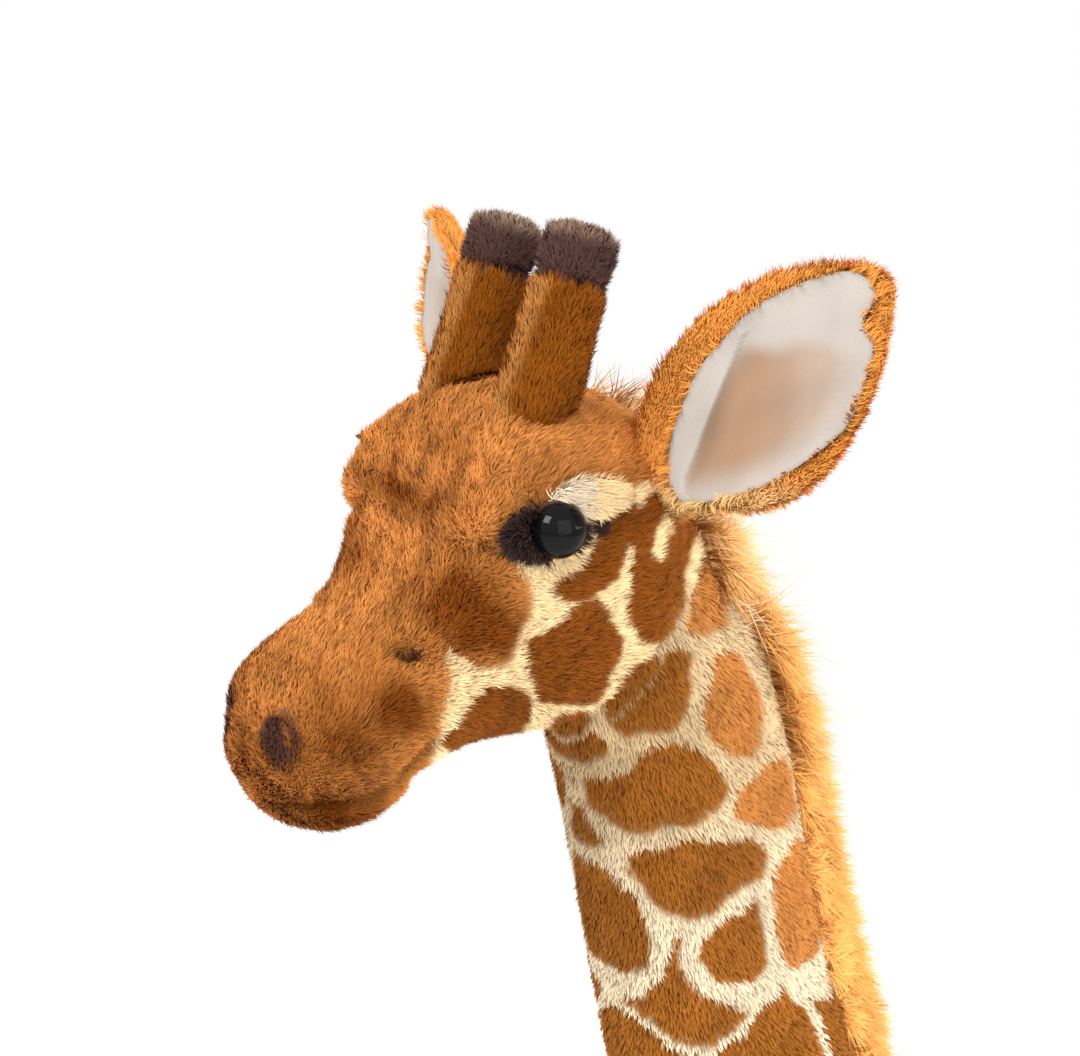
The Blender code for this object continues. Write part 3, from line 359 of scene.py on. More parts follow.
def smoothed(points, faces, factors):
    """Moves each point towards the middle of its neighbours, once for each factor."""
    pairs = np.concatenate([faces[:, [0, 1]], faces[:, [1, 2]], faces[:, [2, 0]]])
    count = np.maximum(np.bincount(pairs[:, 0], minlength=len(points)), 1)[:, None]
    for factor in factors:
        mean = np.stack([np.bincount(pairs[:, 0], points[pairs[:, 1], axis], len(points))
                         for axis in range(3)], axis=1) / count
        points = points + factor * (mean - points)
    return points


def relax(points, faces, rounds):
    """Smooths a closed surface, each round followed by a smaller step back that keeps its volume."""
    return smoothed(points, faces, (SMOOTHING, -SMOOTHING * 0.94) * rounds)


def soften(points, faces, places, radius, rounds):
    """Plain smoothing near some places, which turns the creases there into soft hollows."""
    near = np.min([np.linalg.norm(points - place, axis=1) for place in places], axis=0)
    weight = smooth_step(radius, radius * 0.55, near)[:, None]
    return smoothed(points, faces, [weight * SMOOTHING] * rounds)


def ball(centre, radii):
    """Points and faces of a ball with three radii, which plugs a hollow before a remesh."""
    bpy.ops.mesh.primitive_uv_sphere_add(segments=32, ring_count=16, radius=1)
    item = bpy.context.object
    points, faces = arrays_of(item)
    bpy.data.objects.remove(item, do_unlink=True)
    return points * np.array(radii) + np.array(centre), faces


def reshaped(points, faces, kind, **settings):
    """A surface after one modifier with the settings given."""
    item = new_object("reshaped", points, faces)
    step = item.modifiers.new("reshape", kind)
    for key, value in settings.items():
        setattr(step, key, value)
    bpy.context.view_layer.update()
    graph = bpy.context.evaluated_depsgraph_get()
    item.data = bpy.data.meshes.new_from_object(item.evaluated_get(graph))
    item.modifiers.clear()
    points, faces = arrays_of(item)
    bpy.data.objects.remove(item, do_unlink=True)
    return points, faces


def tree_of(points, faces):
    return BVHTree.FromPolygons(points.tolist(), faces.tolist())


def grown_node(name, by):
    """A node's surface with its points joined, moved outward."""
    points, faces = arrays_of(NODES[name])
    places, index = np.unique(np.round(points, 6), axis=0, return_inverse=True)
    faces = index.reshape(-1)[faces]
    faces = faces[(faces[:, 0] != faces[:, 1]) & (faces[:, 1] != faces[:, 2]) & (faces[:, 0] != faces[:, 2])]
    return places + vertex_normals(places, faces) * by, faces


def largest_part(points, faces):
    """The connected part with the most points."""
    label = np.arange(len(points))
    for _ in range(200):
        low = np.minimum(np.minimum(label[faces[:, 0]], label[faces[:, 1]]), label[faces[:, 2]])
        before = label.copy()
        for corner in range(3):
            np.minimum.at(label, faces[:, corner], low)
        label = label[label]
        if (label == before).all():
            break
    main = np.bincount(label).argmax()
    faces = faces[label[faces[:, 0]] == main]
    used, index = np.unique(faces, return_inverse=True)
    return points[used], index.reshape(faces.shape)


def one_skin(parts, voxel, rounds, inset=INSET):
    """One smooth closed skin round several overlapping bodies that were grown by the closing depth."""
    starts = np.cumsum([0] + [len(points) for points, _ in parts])
    faces = np.concatenate([faces + start for (_, faces), start in zip(parts, starts)])
    points, faces = reshaped(np.concatenate([points for points, _ in parts]), faces, "REMESH",
                             mode="VOXEL", voxel_size=voxel)
    points, faces = largest_part(points, faces)
    points = relax(points, faces, rounds)
    points = points - vertex_normals(points, faces) * (CLOSING + inset)
    return relax(points, faces, 2), faces


def sample(points, faces, count):
    """Roots spread over a surface, with their normals."""
    a, b, c = (points[faces[:, k]] for k in range(3))
    area = np.linalg.norm(np.cross(b - a, c - a), axis=1)
    cuts = np.cumsum(area)
    steps = (np.arange(count) + rng.uniform(0, 1, count)) / count
    picked = np.clip(np.searchsorted(cuts, steps * cuts[-1]), 0, len(faces) - 1)
    u = np.sqrt(rng.uniform(0, 1, count))[:, None]
    v = rng.uniform(0, 1, count)[:, None]
    normals = vertex_normals(points, faces)
    na, nb, nc = (normals[faces[picked, k]] for k in range(3))
    place = a[picked] * (1 - u) + b[picked] * (u * (1 - v)) + c[picked] * (u * v)
    return place, unit(na * (1 - u) + nb * (u * (1 - v)) + nc * (u * v))


# Materials
def add_node(tree, kind, **values):
    """A shader node; each value goes to the input of that name, with spaces for underscores."""
    made = tree.nodes.new(f"ShaderNode{kind}")
    set_inputs(made, **values)
    return made


def set_inputs(made, **values):
    for name, value in values.items():
        made.inputs[name.replace("_", " ")].default_value = value


def node_material(name, roughness, sheen=0.0, attribute=None, colour=None, noise=0.0, noise_scale=400,
                  bump=0.0, specular=0.5, metallic=0.0):
    """Colour from an attribute or a value, varied by noise, with a fine bump."""
    made = bpy.data.materials.new(name)
    made.use_nodes = True
    tree = made.node_tree
    shader = tree.nodes["Principled BSDF"]
    set_inputs(shader, Roughness=roughness, Sheen_Weight=sheen, Sheen_Roughness=0.5,
               Specular_IOR_Level=specular, Metallic=metallic)
    place = add_node(tree, "TexCoord")
    texture = add_node(tree, "TexNoise", Scale=noise_scale, Detail=3)
    tree.links.new(place.outputs["Object"], texture.inputs["Vector"])
    blend = add_node(tree, "Mix")
    blend.data_type = "RGBA"
    blend.blend_type = "MULTIPLY"
    set_inputs(blend, Factor=1)
    spread = add_node(tree, "MapRange", To_Min=1 - noise, To_Max=1 + noise)
    tree.links.new(texture.outputs["Fac"], spread.inputs["Value"])
    if attribute:
        source = add_node(tree, "Attribute")
        source.attribute_name = attribute
        tree.links.new(source.outputs["Color"], blend.inputs["A"])
    else:
        set_inputs(blend, A=(*colour, 1))
    tree.links.new(spread.outputs["Result"], blend.inputs["B"])
    tree.links.new(blend.outputs["Result"], shader.inputs["Base Color"])
    if bump:
        relief = add_node(tree, "Bump", Strength=bump, Distance=BUMP_DEPTH)
        tree.links.new(texture.outputs["Fac"], relief.inputs["Height"])
        tree.links.new(relief.outputs["Normal"], shader.inputs["Normal"])
    return made


def paint(item, colours):
    layer = item.data.color_attributes.new("coat", "FLOAT_COLOR", "POINT")
    values = np.ones((len(colours), 4), np.float32)
    values[:, :3] = colours
    layer.data.foreach_set("color", values.ravel())


PLUSH = node_material("plush_pile", 0.95, sheen=0.02, attribute="coat", noise=0.10, noise_scale=260,
                      specular=0.04)
BACKING = node_material("plush_backing", 0.95, sheen=0.02, attribute="coat", noise=0.18, noise_scale=500,
                        bump=0.5, specular=0.04)


# Fur
def spread_bits(values, gap, bits):
    out = np.zeros_like(values)
    for bit in range(bits):
        out |= ((values >> bit) & 1) << (bit * gap)
    return out


def gather_bits(values, bits):
    out = np.zeros_like(values)
    for bit in range(bits):
        out |= ((values >> (2 * bit)) & 1) << bit
    return out


def z_order(points):
    """The order of points along a space-filling curve, so that neighbours stay together."""
    low = points.min(axis=0)
    size = np.maximum((points.max(axis=0) - low).max(), 1e-9)
    cells = ((points - low) / size * 1023).astype(np.int64)
    code = sum(spread_bits(cells[:, axis], 3, 10) << axis for axis in range(3))
    return np.argsort(code, kind="stable")


def fur(name, roots, normals, flow, length, width, colours, lean=(0.75, 1.25), tip=1.08, shade=0.88,
        stray=0.15, clump=0.24, lift=0.0, aside=0.0):
    """A mesh of flat bent strands. flow is the way that the pile lies; lean is the angle from the normal
    of a strand's lower and upper half."""
    order = z_order(roots)
    roots, normals, flow, colours = roots[order], normals[order], flow[order], colours[order]
    count = len(roots)
    length = np.broadcast_to(length, count)[order] * rng.uniform(0.72, 1.18, count)
    width = np.broadcast_to(width, count)[order] * rng.uniform(0.75, 1.25, count)
    flow = flow + wave_vectors(roots, CLUMP_SIZE, 11) * clump + rng.normal(0, stray, (count, 3))
    flow = square_to(flow, normals)
    tilt = rng.normal(0, 0.13, count)
    first = (lean[0] + tilt)[:, None]
    last = (lean[1] + tilt * 1.5)[:, None]
    half = (length / 2)[:, None]
    middle = roots + (normals * np.cos(first) + flow * np.sin(first)) * half
    end_way = normals * np.cos(last) + flow * np.sin(last)
    end = middle + end_way * half
    side = unit(np.cross(normals, flow) + rng.normal(0, 0.45, (count, 3)))
    side = square_to(side, end_way)
    outward = normals * (1 - lift)
    outward[:, 2] += lift
    outward[:, 0] += np.sign(roots[:, 0]) * aside
    facing = np.cross(side, middle - roots)
    side = np.where((facing * outward).sum(axis=1, keepdims=True) < 0, -side, side)
    spread = side * (width / 2)[:, None]
    base = roots - normals * ROOT_DEPTH
    points = np.stack([base - spread, base + spread, middle + spread * 0.85, middle - spread * 0.85, end],
                      axis=1)
    start = np.arange(count)[:, None] * 5
    faces = np.concatenate([start + np.array(f) for f in ((0, 1, 2), (0, 2, 3), (3, 2, 4))], axis=1)
    item = new_object(name, points.reshape(-1, 3), faces.reshape(-1, 3))
    # painted shade on each strand's lower half, deep in the pile, and painted light on its tip
    tones = np.array((shade, shade, 0.95, 0.95, tip))[None, :, None]
    paint(item, np.clip((colours[:, None, :] * tones).reshape(-1, 3), 0, 1))
    blade = unit(np.cross(side, end_way))
    blade = np.where((blade * outward).sum(axis=1, keepdims=True) < 0, -blade, blade)
    soft = unit(blade * 0.65 + outward + flow * 0.20 + rng.normal(0, 0.10, (count, 3)))
    item.data.normals_split_custom_set_from_vertices(np.repeat(soft, 5, axis=0).astype(np.float32))
    bits = max(1, math.ceil(math.log(max(count, 2), 4)))
    cells = np.arange(count, dtype=np.int64)
    corner = np.stack([gather_bits(cells, bits), gather_bits(cells >> 1, bits)], axis=1)
    shape = np.array(((0.15, 0.1), (0.85, 0.1), (0.85, 0.5), (0.15, 0.5), (0.5, 0.9)))
    places = (corner[:, None, :] + shape[None]) / 2 ** bits
    loops = faces.reshape(-1)
    layer = item.data.uv_layers.new(name="OFBake")
    layer.data.foreach_set("uv", places.reshape(-1, 2)[loops].astype(np.float32).ravel())
    item.data.materials.append(PLUSH)
    return item


def line_px_distance(px, line):
    """Distance in pixels to a drawn line."""
    best = np.full(len(px), FAR)
    for start, end in zip(line, line[1:]):
        way = np.subtract(end, start).astype(float)
        away = px - start
        share = np.clip(away @ way / (way @ way), 0, 1)[:, None]
        best = np.minimum(best, np.linalg.norm(away - share * way, axis=1))
    return best


def inside_distance(px, outline):
    """Signed distance to an outline in pixels, positive inside it."""
    corners = np.array(outline, float)
    closed = np.concatenate([corners, corners[:1]])
    best = line_px_distance(px, closed)
    crossings = np.zeros(len(px), int)
    for (ax, ay), (bx, by) in zip(closed, closed[1:]):
        over = (ay > px[:, 1]) != (by > px[:, 1])
        slope = (bx - ax) / (by - ay) if by != ay else 0
        crossings += over & (px[:, 0] < ax + slope * (px[:, 1] - ay))
    return np.where(crossings % 2 == 1, best, -best)


def rounded(outline, steps):
    """A closed outline with smooth curves through its points."""
    corners = np.array(outline, float)
    before, after, beyond = (np.roll(corners, turn, axis=0) for turn in (1, -1, -2))
    found = []
    for share in np.arange(steps) / steps:
        found.append(0.5 * (2 * corners + (after - before) * share
                            + (2 * before - 5 * corners + 4 * after - beyond) * share ** 2
                            + (3 * corners - before - 3 * after + beyond) * share ** 3))
    return np.stack(found, axis=1).reshape(-1, 2)


def spot_seeds():
    """Middles of the worked-out spots of one side: down the neck, over the torso and down the legs."""
    local = np.random.default_rng(3)
    seeds = []
    for low, high, gap in SEED_BANDS:
        tries = local.uniform((0, cad_low.y, low), (0.06, cad_high.y, high), (SEED_TRIES, 3))
        distance, picked = near_skin(tries)
        for place in picked[distance < SEED_REACH]:
            if all(np.linalg.norm(place - other) > (gap + other_gap) / 2 for other, other_gap in seeds):
                seeds.append((place, gap))
    return np.array([place for place, _ in seeds]), np.array([gap for _, gap in seeds])


def near_skin(points):
    """Distance to the body's skins and the nearest places on them."""
    hits = [body_tree.find_nearest(Vector(point)) for point in points]
    return np.array([hit[3] for hit in hits]), np.array([tuple(hit[0]) for hit in hits])


def spots(points, normals):
    """How deep each point lies inside a spot in metres, whether that is one of the rear spots that are
    lighter with painted light, and its pixels.
    """
    opposite = mirrored(points, -1)
    flipped = mirrored(normals, -1)
    front = ((CAMERA - points) * normals).sum(axis=1) > 0
    direct = (points[:, 0] >= 0) | (front & (((CAMERA - opposite) * flipped).sum(axis=1) < 0))
    source = np.where(direct[:, None], points, opposite)
    px = to_px(source)
    px = px + np.stack([waves(points, 0.011, 21), waves(points, 0.011, 22)], axis=1) * 2.2
    depth = np.full(len(points), -FAR)
    rear = np.zeros(len(points))
    for name, outline in SPOTS_PX.items():
        inside = inside_distance(px, outline)
        if name == "behind_eye":
            inside = np.minimum(inside, -inside_distance(px, STREAK_PX))
        rear = np.where((inside > depth) & (inside > -4), float(name in LIT_REAR_SPOTS), rear)
        depth = np.maximum(depth, inside)
    return depth * MM_PER_PX + SPOT_GROWTH, rear, px


def generic_spots(points):
    """The same for the worked-out spots of the lower neck, torso and legs."""
    folded = near_side(points) + wave_vectors(points, 0.030, 31) * 0.0030
    folded = folded + wave_vectors(points, 0.009, 35) * 0.0008
    first = np.full(len(points), FAR)
    second = np.full(len(points), FAR)
    which = np.zeros(len(points), int)
    for index, (seed, gap) in enumerate(zip(SEEDS, SEED_GAPS)):
        away = np.linalg.norm(folded - seed, axis=1)
        closer = away < first
        second = np.where(closer, first, np.minimum(second, away))
        which = np.where(closer, index, which)
        first = np.where(closer, away, first)
    line = np.where(points[:, 2] < 0.17, LINE * 0.8, LINE)
    rounding = SEED_GAPS[which] * 0.78 - first
    return np.minimum((second - first) * 0.62 - line / 2, rounding)


def tone_noise(points):
    return 1 + 0.07 * waves(points, 0.020, 41) + 0.06 * waves(points, 0.005, 42)


def toned(colours, points):
    return colours * tone_noise(points)[:, None]


def nostril_share(px):
    """1 in the middle of a nostril, 0 away from it."""
    turned = px - NOSTRIL_PX
    half = np.where(turned[:, 0] < 0, NOSTRIL_HALF_PX[0] * 0.95, NOSTRIL_HALF_PX[0])
    reach = np.hypot(turned[:, 0] / half, turned[:, 1] / NOSTRIL_HALF_PX[1])
    return smooth_step(1.25, 0.60, reach)


def head_coat(points, normals):
    depth, _, px = spots(points, normals)
    face = inside_distance(px, FACE_PX) * MM_PER_PX
    deep = FACE_TONE + 0.11 * waves(points, 0.010, 151) + 0.06 * waves(points, 0.004, 152)
    # painted shade in the brown areas of the face, painted highlight on the bridge
    for centre, reach, strength in FACE_SHADE_AND_HIGHLIGHT_PX.values():
        deep = deep + strength * hump_px(px, centre, reach)
    deep = np.clip(deep, 0, 1)
    skin = mix(CREAM_HEAD, PATCH_HEAD, smooth_step(-0.0007, 0.0008, depth))
    skin = mix(skin, mix(FACE_LIGHT, FACE_DEEP, deep), smooth_step(-0.0011, 0.0011, face))
    sideways = smooth_step(0.18, 0.32, np.abs(normals[:, 0]))
    skin = mix(skin, NOSTRIL_DARK, nostril_share(px) * sideways * (points[:, 1] < -0.14))
    skin = mix(skin, EYE_DARK, smooth_step(0.35, 0.75, hump_px(px, *EYE_TAIL_PX)))
    # painted shade in the stitched pit, in the nostril's dark brown
    skin = mix(skin, NOSTRIL_DARK, smooth_step(0.15, 0.80, hump_px(px, *PIT_SHADE_PX)) * 0.85)
    skin = skin * (1 + 0.10 * waves(points, 0.0022, 141) + 0.07 * waves(points, 0.0011, 142))[:, None]
    return toned(skin, points)


def neck_coat(points, normals):
    depth, rear, px = spots(points, normals)
    low = generic_spots(points)
    low = np.minimum(low, -depth - LINE)
    low = np.minimum(low, (PHOTO_FLOOR - points[:, 2]) + waves(points, 0.03, 51) * 0.004)
    shown = np.where(points[:, 2] > PHOTO_FLOOR - 0.03, depth, -1)
    inside = smooth_step(-0.0008, 0.0008, np.maximum(shown, low))
    cream = mix(CREAM_NECK, CREAM_BODY, smooth_step(0.475, 0.415, points[:, 2]))
    # painted light: the neck's rear spots in a lighter copy of the spot brown
    brown = mix(PATCH_NECK, PATCH_REAR_LIT, np.where(shown > low, rear, 0) * 0.8)
    return toned(mix(cream, brown, inside), points)


def body_coat(points, normals):
    inside = smooth_step(-0.0009, 0.0009, generic_spots(points))
    under = smooth_step(-0.55, -0.92, normals[:, 2]) * (points[:, 2] > 0.19) * (points[:, 2] < 0.25)
    return toned(mix(CREAM_BODY, PATCH_NECK, inside * (1 - under)), points)


# The body's one sewn skin, cut into its torso, neck and leg pieces
NECK_FOOT = np.array((0.0, -0.0070, 0.2990))
HEAD_PIVOT = np.array((0.0, -0.0710, 0.5070))
NECK_UP = unit(np.array((0.0, -0.30, 0.95)))
HIPS = {"front": np.array((0.032, -0.002, 0.232)), "rear": np.array((0.032, 0.119, 0.232))}
LEG_TOP = 0.2040        # where a leg's skin starts under the torso
LEG_FREE = 0.1650       # and a lower height on the leg
NECK_START = 0.0260     # where the neck's skin starts above its foot
NECK_FREE = 0.0800
NECK_FINE = 0.3950      # above this the neck has twice the strands
NECK_FINE_WIDTH = 0.42  # and above this its strands are narrow
FOOT_PLUG = (0.0370, 0.0400, 0.0350)
TAIL_ROOT = np.array((0.0, 0.1480, 0.2810))
TAIL_PLUG = (0.0085, 0.0072, 0.0090)
HIP_PLUG = (0.0190, 0.0270, 0.0270)
NECK_PLUG = (0.0290, 0.0290, 0.0290)
EAR_ROOT = np.array((0.0265, -0.0720, 0.5420))
HORN_FOOT = np.array((0.0168, -0.1054, 0.5510))
# the way that the horn's lit edges face
HORN_LIT_AXIS = np.array((0.0, 1.0, 0.0))
HORN_PLUG = (0.0118, 0.0118, 0.0105)
CAP_PLUG = (0.0092, 0.0092, 0.0090)
CAP_HEART = (0.0100, 0.0100, 0.0080)
CAP_DROP = 0.0045
EAR_PLUG = (0.0110, 0.0150, 0.0130)
EAR_PLUG_SHIFT = np.array((-0.0010, 0.0, -0.0005))
HIP_DROP = np.array((0, 0, -0.012))
DOWN = np.array((0.0, 0.1, -1.0))
TORSO_FLOW = np.array((0.0, 0.75, -0.55))
NECK_FLOW = -NECK_UP + np.array((0, 0.25, 0))
SKIN_SHADE = 0.75       # painted shade: the skin under the pile is darker than the pile
SINK = 0.0015           # the neck's pile goes on this far inside the head


def take(points, faces, keep):
    """The faces kept, with only the points that they use."""
    used, index = np.unique(faces[keep], return_inverse=True)
    return points[used], index.reshape(-1, 3)


parts = [grown_node(name, CLOSING) for name in ["torso", "neck"] + [f"leg_{leg}" for leg, _, _ in LEGS]]
parts.append(ball(NECK_FOOT, FOOT_PLUG))
parts.append(ball(TAIL_ROOT, TAIL_PLUG))
parts += [ball(mirrored(HIPS[end], sign), HIP_PLUG) for _, end, sign in LEGS]
body_points, body_faces = one_skin(parts, BODY_VOXEL, 6)
hip_places = [mirrored(HIPS[end], sign) + HIP_DROP for _, end, sign in LEGS]
body_points = soften(body_points, body_faces, hip_places, 0.048, 40)
body_points = soften(body_points, body_faces, [NECK_FOOT + NECK_UP * 0.012], 0.070, 60)
body_tree = tree_of(body_points, body_faces)
SEEDS, SEED_GAPS = spot_seeds()

middles = body_points[body_faces].mean(axis=1)
above_foot = (middles - NECK_FOOT) @ NECK_UP
is_neck = above_foot > NECK_START
is_leg = (middles[:, 2] < LEG_TOP) & ~is_neck
mid_y = (HIPS["front"][1] + HIPS["rear"][1]) / 2

# The head with its lower jaw, one skin with the mouth and the stitched pits pressed in
head_parts = [grown_node(name, CLOSING) for name in ("head", "lower_jaw")]
head_parts.append(ball(HEAD_PIVOT + np.array((0, 0, 0.004)), NECK_PLUG))
head_parts += [ball(mirrored(EAR_ROOT, sign) + mirrored(EAR_PLUG_SHIFT, sign), EAR_PLUG) for sign, _ in SIDES]
head_points, head_faces = one_skin(head_parts, HEAD_VOXEL, 8)
head_tree = tree_of(head_points, head_faces)


def on_head(px):
    hit = head_tree.ray_cast(*ray_of(px))
    return None if hit[0] is None else np.array(hit[0])


def line_on_head(outline):
    """A line drawn in the photograph, as close points on the head's near side."""
    found = [on_head(px) for px in outline]
    found = [place for place in found if place is not None]
    line = []
    for start, end in zip(found, found[1:]):
        count = max(2, int(np.linalg.norm(end - start) / LINE_STEP))
        line += [start + (end - start) * k / count for k in range(count)]
    line = np.array(line + [found[-1]])
    snapped = np.array([tuple(head_tree.find_nearest(Vector(p))[0]) for p in line])
    return np.concatenate([snapped, mirrored(snapped, -1)])


def line_distance(points, line):
    best = np.full(len(points), FAR)
    for chunk in range(0, len(line), 16):
        away = points[:, None, :] - line[None, chunk:chunk + 16, :]
        best = np.minimum(best, np.sqrt((away ** 2).sum(axis=2)).min(axis=1))
    return best


PRESSED = {name: (line_on_head(outline), depth, width)
           for name, (outline, depth, width) in PRESSED_PX.items()}
head_normals = vertex_normals(head_points, head_faces)
pushed = sum(depth * hump(line_distance(head_points, line), width) for line, depth, width in PRESSED.values())
head_points = relax(head_points - head_normals * pushed[:, None], head_faces, 1)
head_tree = tree_of(head_points, head_faces)
head_normals = vertex_normals(head_points, head_faces)


def seam_shade(points):
    """Painted shade in the pressed lines of the mouth, pit, crease and cleft: dark there, 1 elsewhere."""
    mouth, pit, crease, cleft = (line_distance(points, PRESSED[name][0])
                                 for name in ("mouth", "pit", "crease", "cleft"))
    lips = hump(mouth, 0.0017) + 0.35 * hump(mouth, 0.0034)
    dark = 0.80 * lips + 0.9 * hump(pit, 0.0024) + 0.85 * hump(crease, 0.0015) + 0.35 * hump(cleft, 0.0016)
    return 1 - np.clip(dark, 0, 0.88)


# Eyes: their facing on each side
EYE_FACING = unit(np.array((0.90, -0.42, 0.08)))
EYE_RADIUS = 0.0070


def eye_distance(points):
    return np.minimum(np.linalg.norm(points - EYE_CENTRE, axis=1),
                      np.linalg.norm(points - mirrored(EYE_CENTRE, -1), axis=1))


def node_tree(name):
    return tree_of(*grown_node(name, 0))


PROBE = Vector((0.31, 0.22, 0.93)).normalized()
STEP_ON = 1e-5


def enclosed(point, tree):
    """Whether a point is inside a closed surface, by the number of times that a ray crosses it."""
    crossings = 0
    place = Vector(point)
    for _ in range(40):
        hit = tree.ray_cast(place, PROBE)[0]
        if hit is None:
            break
        crossings += 1
        place = hit + PROBE * STEP_ON
    return crossings % 2 == 1


def outside(points, tree, margin):
    """True where a point lies outside a closed surface by margin, or inside it by less than -margin."""
    keep = np.ones(len(points), bool)
    for index, point in enumerate(points):
        place, normal, _, away = tree.find_nearest(Vector(point))
        depth = (Vector(point) - place).dot(normal)
        if depth < margin:
            keep[index] = away > abs(margin) + STEP_ON and not enclosed(point, tree)
    return keep


def near_surface(points, tree, reach):
    return np.array([tree.find_nearest(Vector(point), reach)[0] is not None for point in points])


def skin_piece(name, points, faces, colours, material=None):
    item = new_object(name, points, faces)
    paint(item, colours)
    item.data.materials.append(material or BACKING)
    return item


def settle(item, body, bend=None):
    """Rides one body, or, where a bend is given, keeps its place baked into its mesh."""
    if bend:
        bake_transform(item)
    else:
        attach(item, body)


def strand_count(points, faces, per_mm2):
    a, b, c = (points[faces[:, k]] for k in range(3))
    area = np.linalg.norm(np.cross(b - a, c - a), axis=1).sum() / 2
    return int(min(STRAND_LIMIT, area * 1e6 * per_mm2) * QUICK_SHARE)


# Torso, neck and legs
groups = {"torso": ~(is_neck | is_leg), "neck": is_neck}
for leg, end, sign in LEGS:
    in_end = (middles[:, 1] < mid_y) == (end == "front")
    in_side = (middles[:, 0] > 0) == (sign > 0)
    groups[f"leg_{leg}"] = is_leg & in_end & in_side

for name, keep in groups.items():
    points, faces = take(body_points, body_faces, keep)
    on_neck = name == "neck"
    coat = neck_coat if on_neck else body_coat
    colours = coat(points, vertex_normals(points, faces))
    skin = skin_piece(f"{name}_skin", points, faces, colours * SKIN_SHADE)
    count = strand_count(points, faces, 2.2 if on_neck else 1.15)
    roots, normals = sample(points, faces, count)
    bend = None
    if on_neck:
        free = outside(roots, head_tree, -SINK)
        roots, normals = roots[free], normals[free]
        width = np.where(roots[:, 2] > NECK_FINE_WIDTH, STRAND * 1.25, WIDE_STRAND * 0.85)
        hairs = [fur("neck_pile", roots, normals, repeated(NECK_FLOW, roots), NECK_PILE, width,
                     coat(roots, normals))]
        roots, normals = sample(points, faces, count)
        free = (roots[:, 2] > NECK_FINE) & outside(roots, head_tree, -SINK)
        roots, normals = roots[free], normals[free]
        hairs.append(fur("neck_pile_fine", roots, normals, repeated(NECK_FLOW, roots), NECK_PILE,
                         STRAND * 1.2, coat(roots, normals)))
        bend = ("torso", "neck", *(tuple(NECK_FOOT + NECK_UP * reach) for reach in (NECK_START, NECK_FREE)))
    else:
        flow = repeated(TORSO_FLOW if name == "torso" else DOWN, roots)
        hairs = [fur(f"{name}_pile", roots, normals, flow, BODY_PILE, WIDE_STRAND, coat(roots, normals))]
        if name != "torso":
            hip = roots.mean(axis=0)
            bend = ("torso", name, (hip[0], hip[1], LEG_TOP), (hip[0], hip[1], LEG_FREE))
    for item in [skin] + hairs:
        settle(item, body="torso", bend=bend)
    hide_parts(name)

# Head
colours = head_coat(head_points, head_normals)
# painted shade: the head's skin darker under its pile, and darker still in the pressed lines
colours = colours * 0.82 * seam_shade(head_points)[:, None]
head_skin = skin_piece("head_skin", head_points, head_faces, colours)
settle(head_skin, body="head")
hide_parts("head", "lower_jaw")
blockers = [node_tree(f"{name}_{side}") for _, side in SIDES for name in ("horn", "ear_shell")]
pads = {name: node_tree(name) for name in
        [f"{kind}_{side}" for kind in ("eye_patch", "eyelid") for _, side in SIDES]}
neck_points, neck_faces = take(body_points, body_faces, groups["neck"])
neck_tree = tree_of(neck_points, neck_faces)


def head_flow(points):
    """The pile lies from the nose back over the head, and outward round each eye."""
    way = np.tile(np.array((0.0, 0.80, 0.34)), (len(points), 1))
    below = smooth_step(0.505, 0.475, points[:, 2])[:, None]
    way = way + np.array((0.0, 0.0, -0.75)) * below
    nose = smooth_step(-0.135, -0.160, points[:, 1])[:, None]
    way = way + np.array((0.0, -0.35, 0.75)) * nose
    for sign, _ in SIDES:
        away = points - mirrored(EYE_CENTRE, sign)
        near = hump(np.linalg.norm(away, axis=1), 0.013)[:, None]
        way = way * (1 - near) + unit(away) * near * 1.3
    return way


def head_strands(name):
    roots, normals = sample(head_points, head_faces, int(STRAND_LIMIT * QUICK_SHARE))
    keep = eye_distance(roots) > EYE_RADIUS * 1.02
    for tree in blockers:
        keep &= outside(roots, tree, 0.0003)
    for tree in pads.values():
        keep &= ~near_surface(roots, tree, 0.0012)
    keep &= outside(roots, neck_tree, -0.002) | (roots[:, 2] > 0.50)
    roots, normals = roots[keep], normals[keep]
    shade = seam_shade(roots)
    deep = shade > 0.42 + rng.uniform(0, 0.15, len(roots))
    roots, normals, shade = roots[deep], normals[deep], shade[deep]
    reach = (0.35 + 0.65 * smooth_step(0.0070, 0.0135, eye_distance(roots))) * (0.45 + 0.55 * shade)
    front = smooth_step(-0.150, -0.165, roots[:, 1])
    reach = reach * (1 - 0.25 * front)
    colours = head_coat(roots, normals) * shade[:, None]
    return fur(name, roots, normals, head_flow(roots), HEAD_PILE * reach, STRAND, colours)


for index in range(3):
    settle(head_strands(f"head_pile_{index + 1}"), body="head")


# Small pads on the head: dark eye surrounds, pale lids and nostrils
def pad_piece(node, body, colour, pile, flow=None, per_mm2=5.0, sink=0.0, shift=(0, 0, 0),
              lean=(0.65, 1.15)):
    points, faces = reshaped(*grown_node(node, 0), "SUBSURF", levels=2)
    normals = vertex_normals(points, faces)
    points = points - normals * sink + np.array(shift)
    # painted shade: a pad's skin darker under its pile
    skin = skin_piece(f"{node}_skin", points, faces, colour(points, normals) * 0.8)
    settle(skin, body=body)
    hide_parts(node)
    if flow is None:
        return
    roots, root_normals = sample(points, faces, max(400, strand_count(points, faces, per_mm2)))
    keep = eye_distance(roots) > EYE_RADIUS
    roots, root_normals = roots[keep], root_normals[keep]
    hair = fur(f"{node}_pile", roots, root_normals, flow(roots), pile, STRAND, colour(roots, root_normals),
               lean=lean)
    settle(hair, body=body)


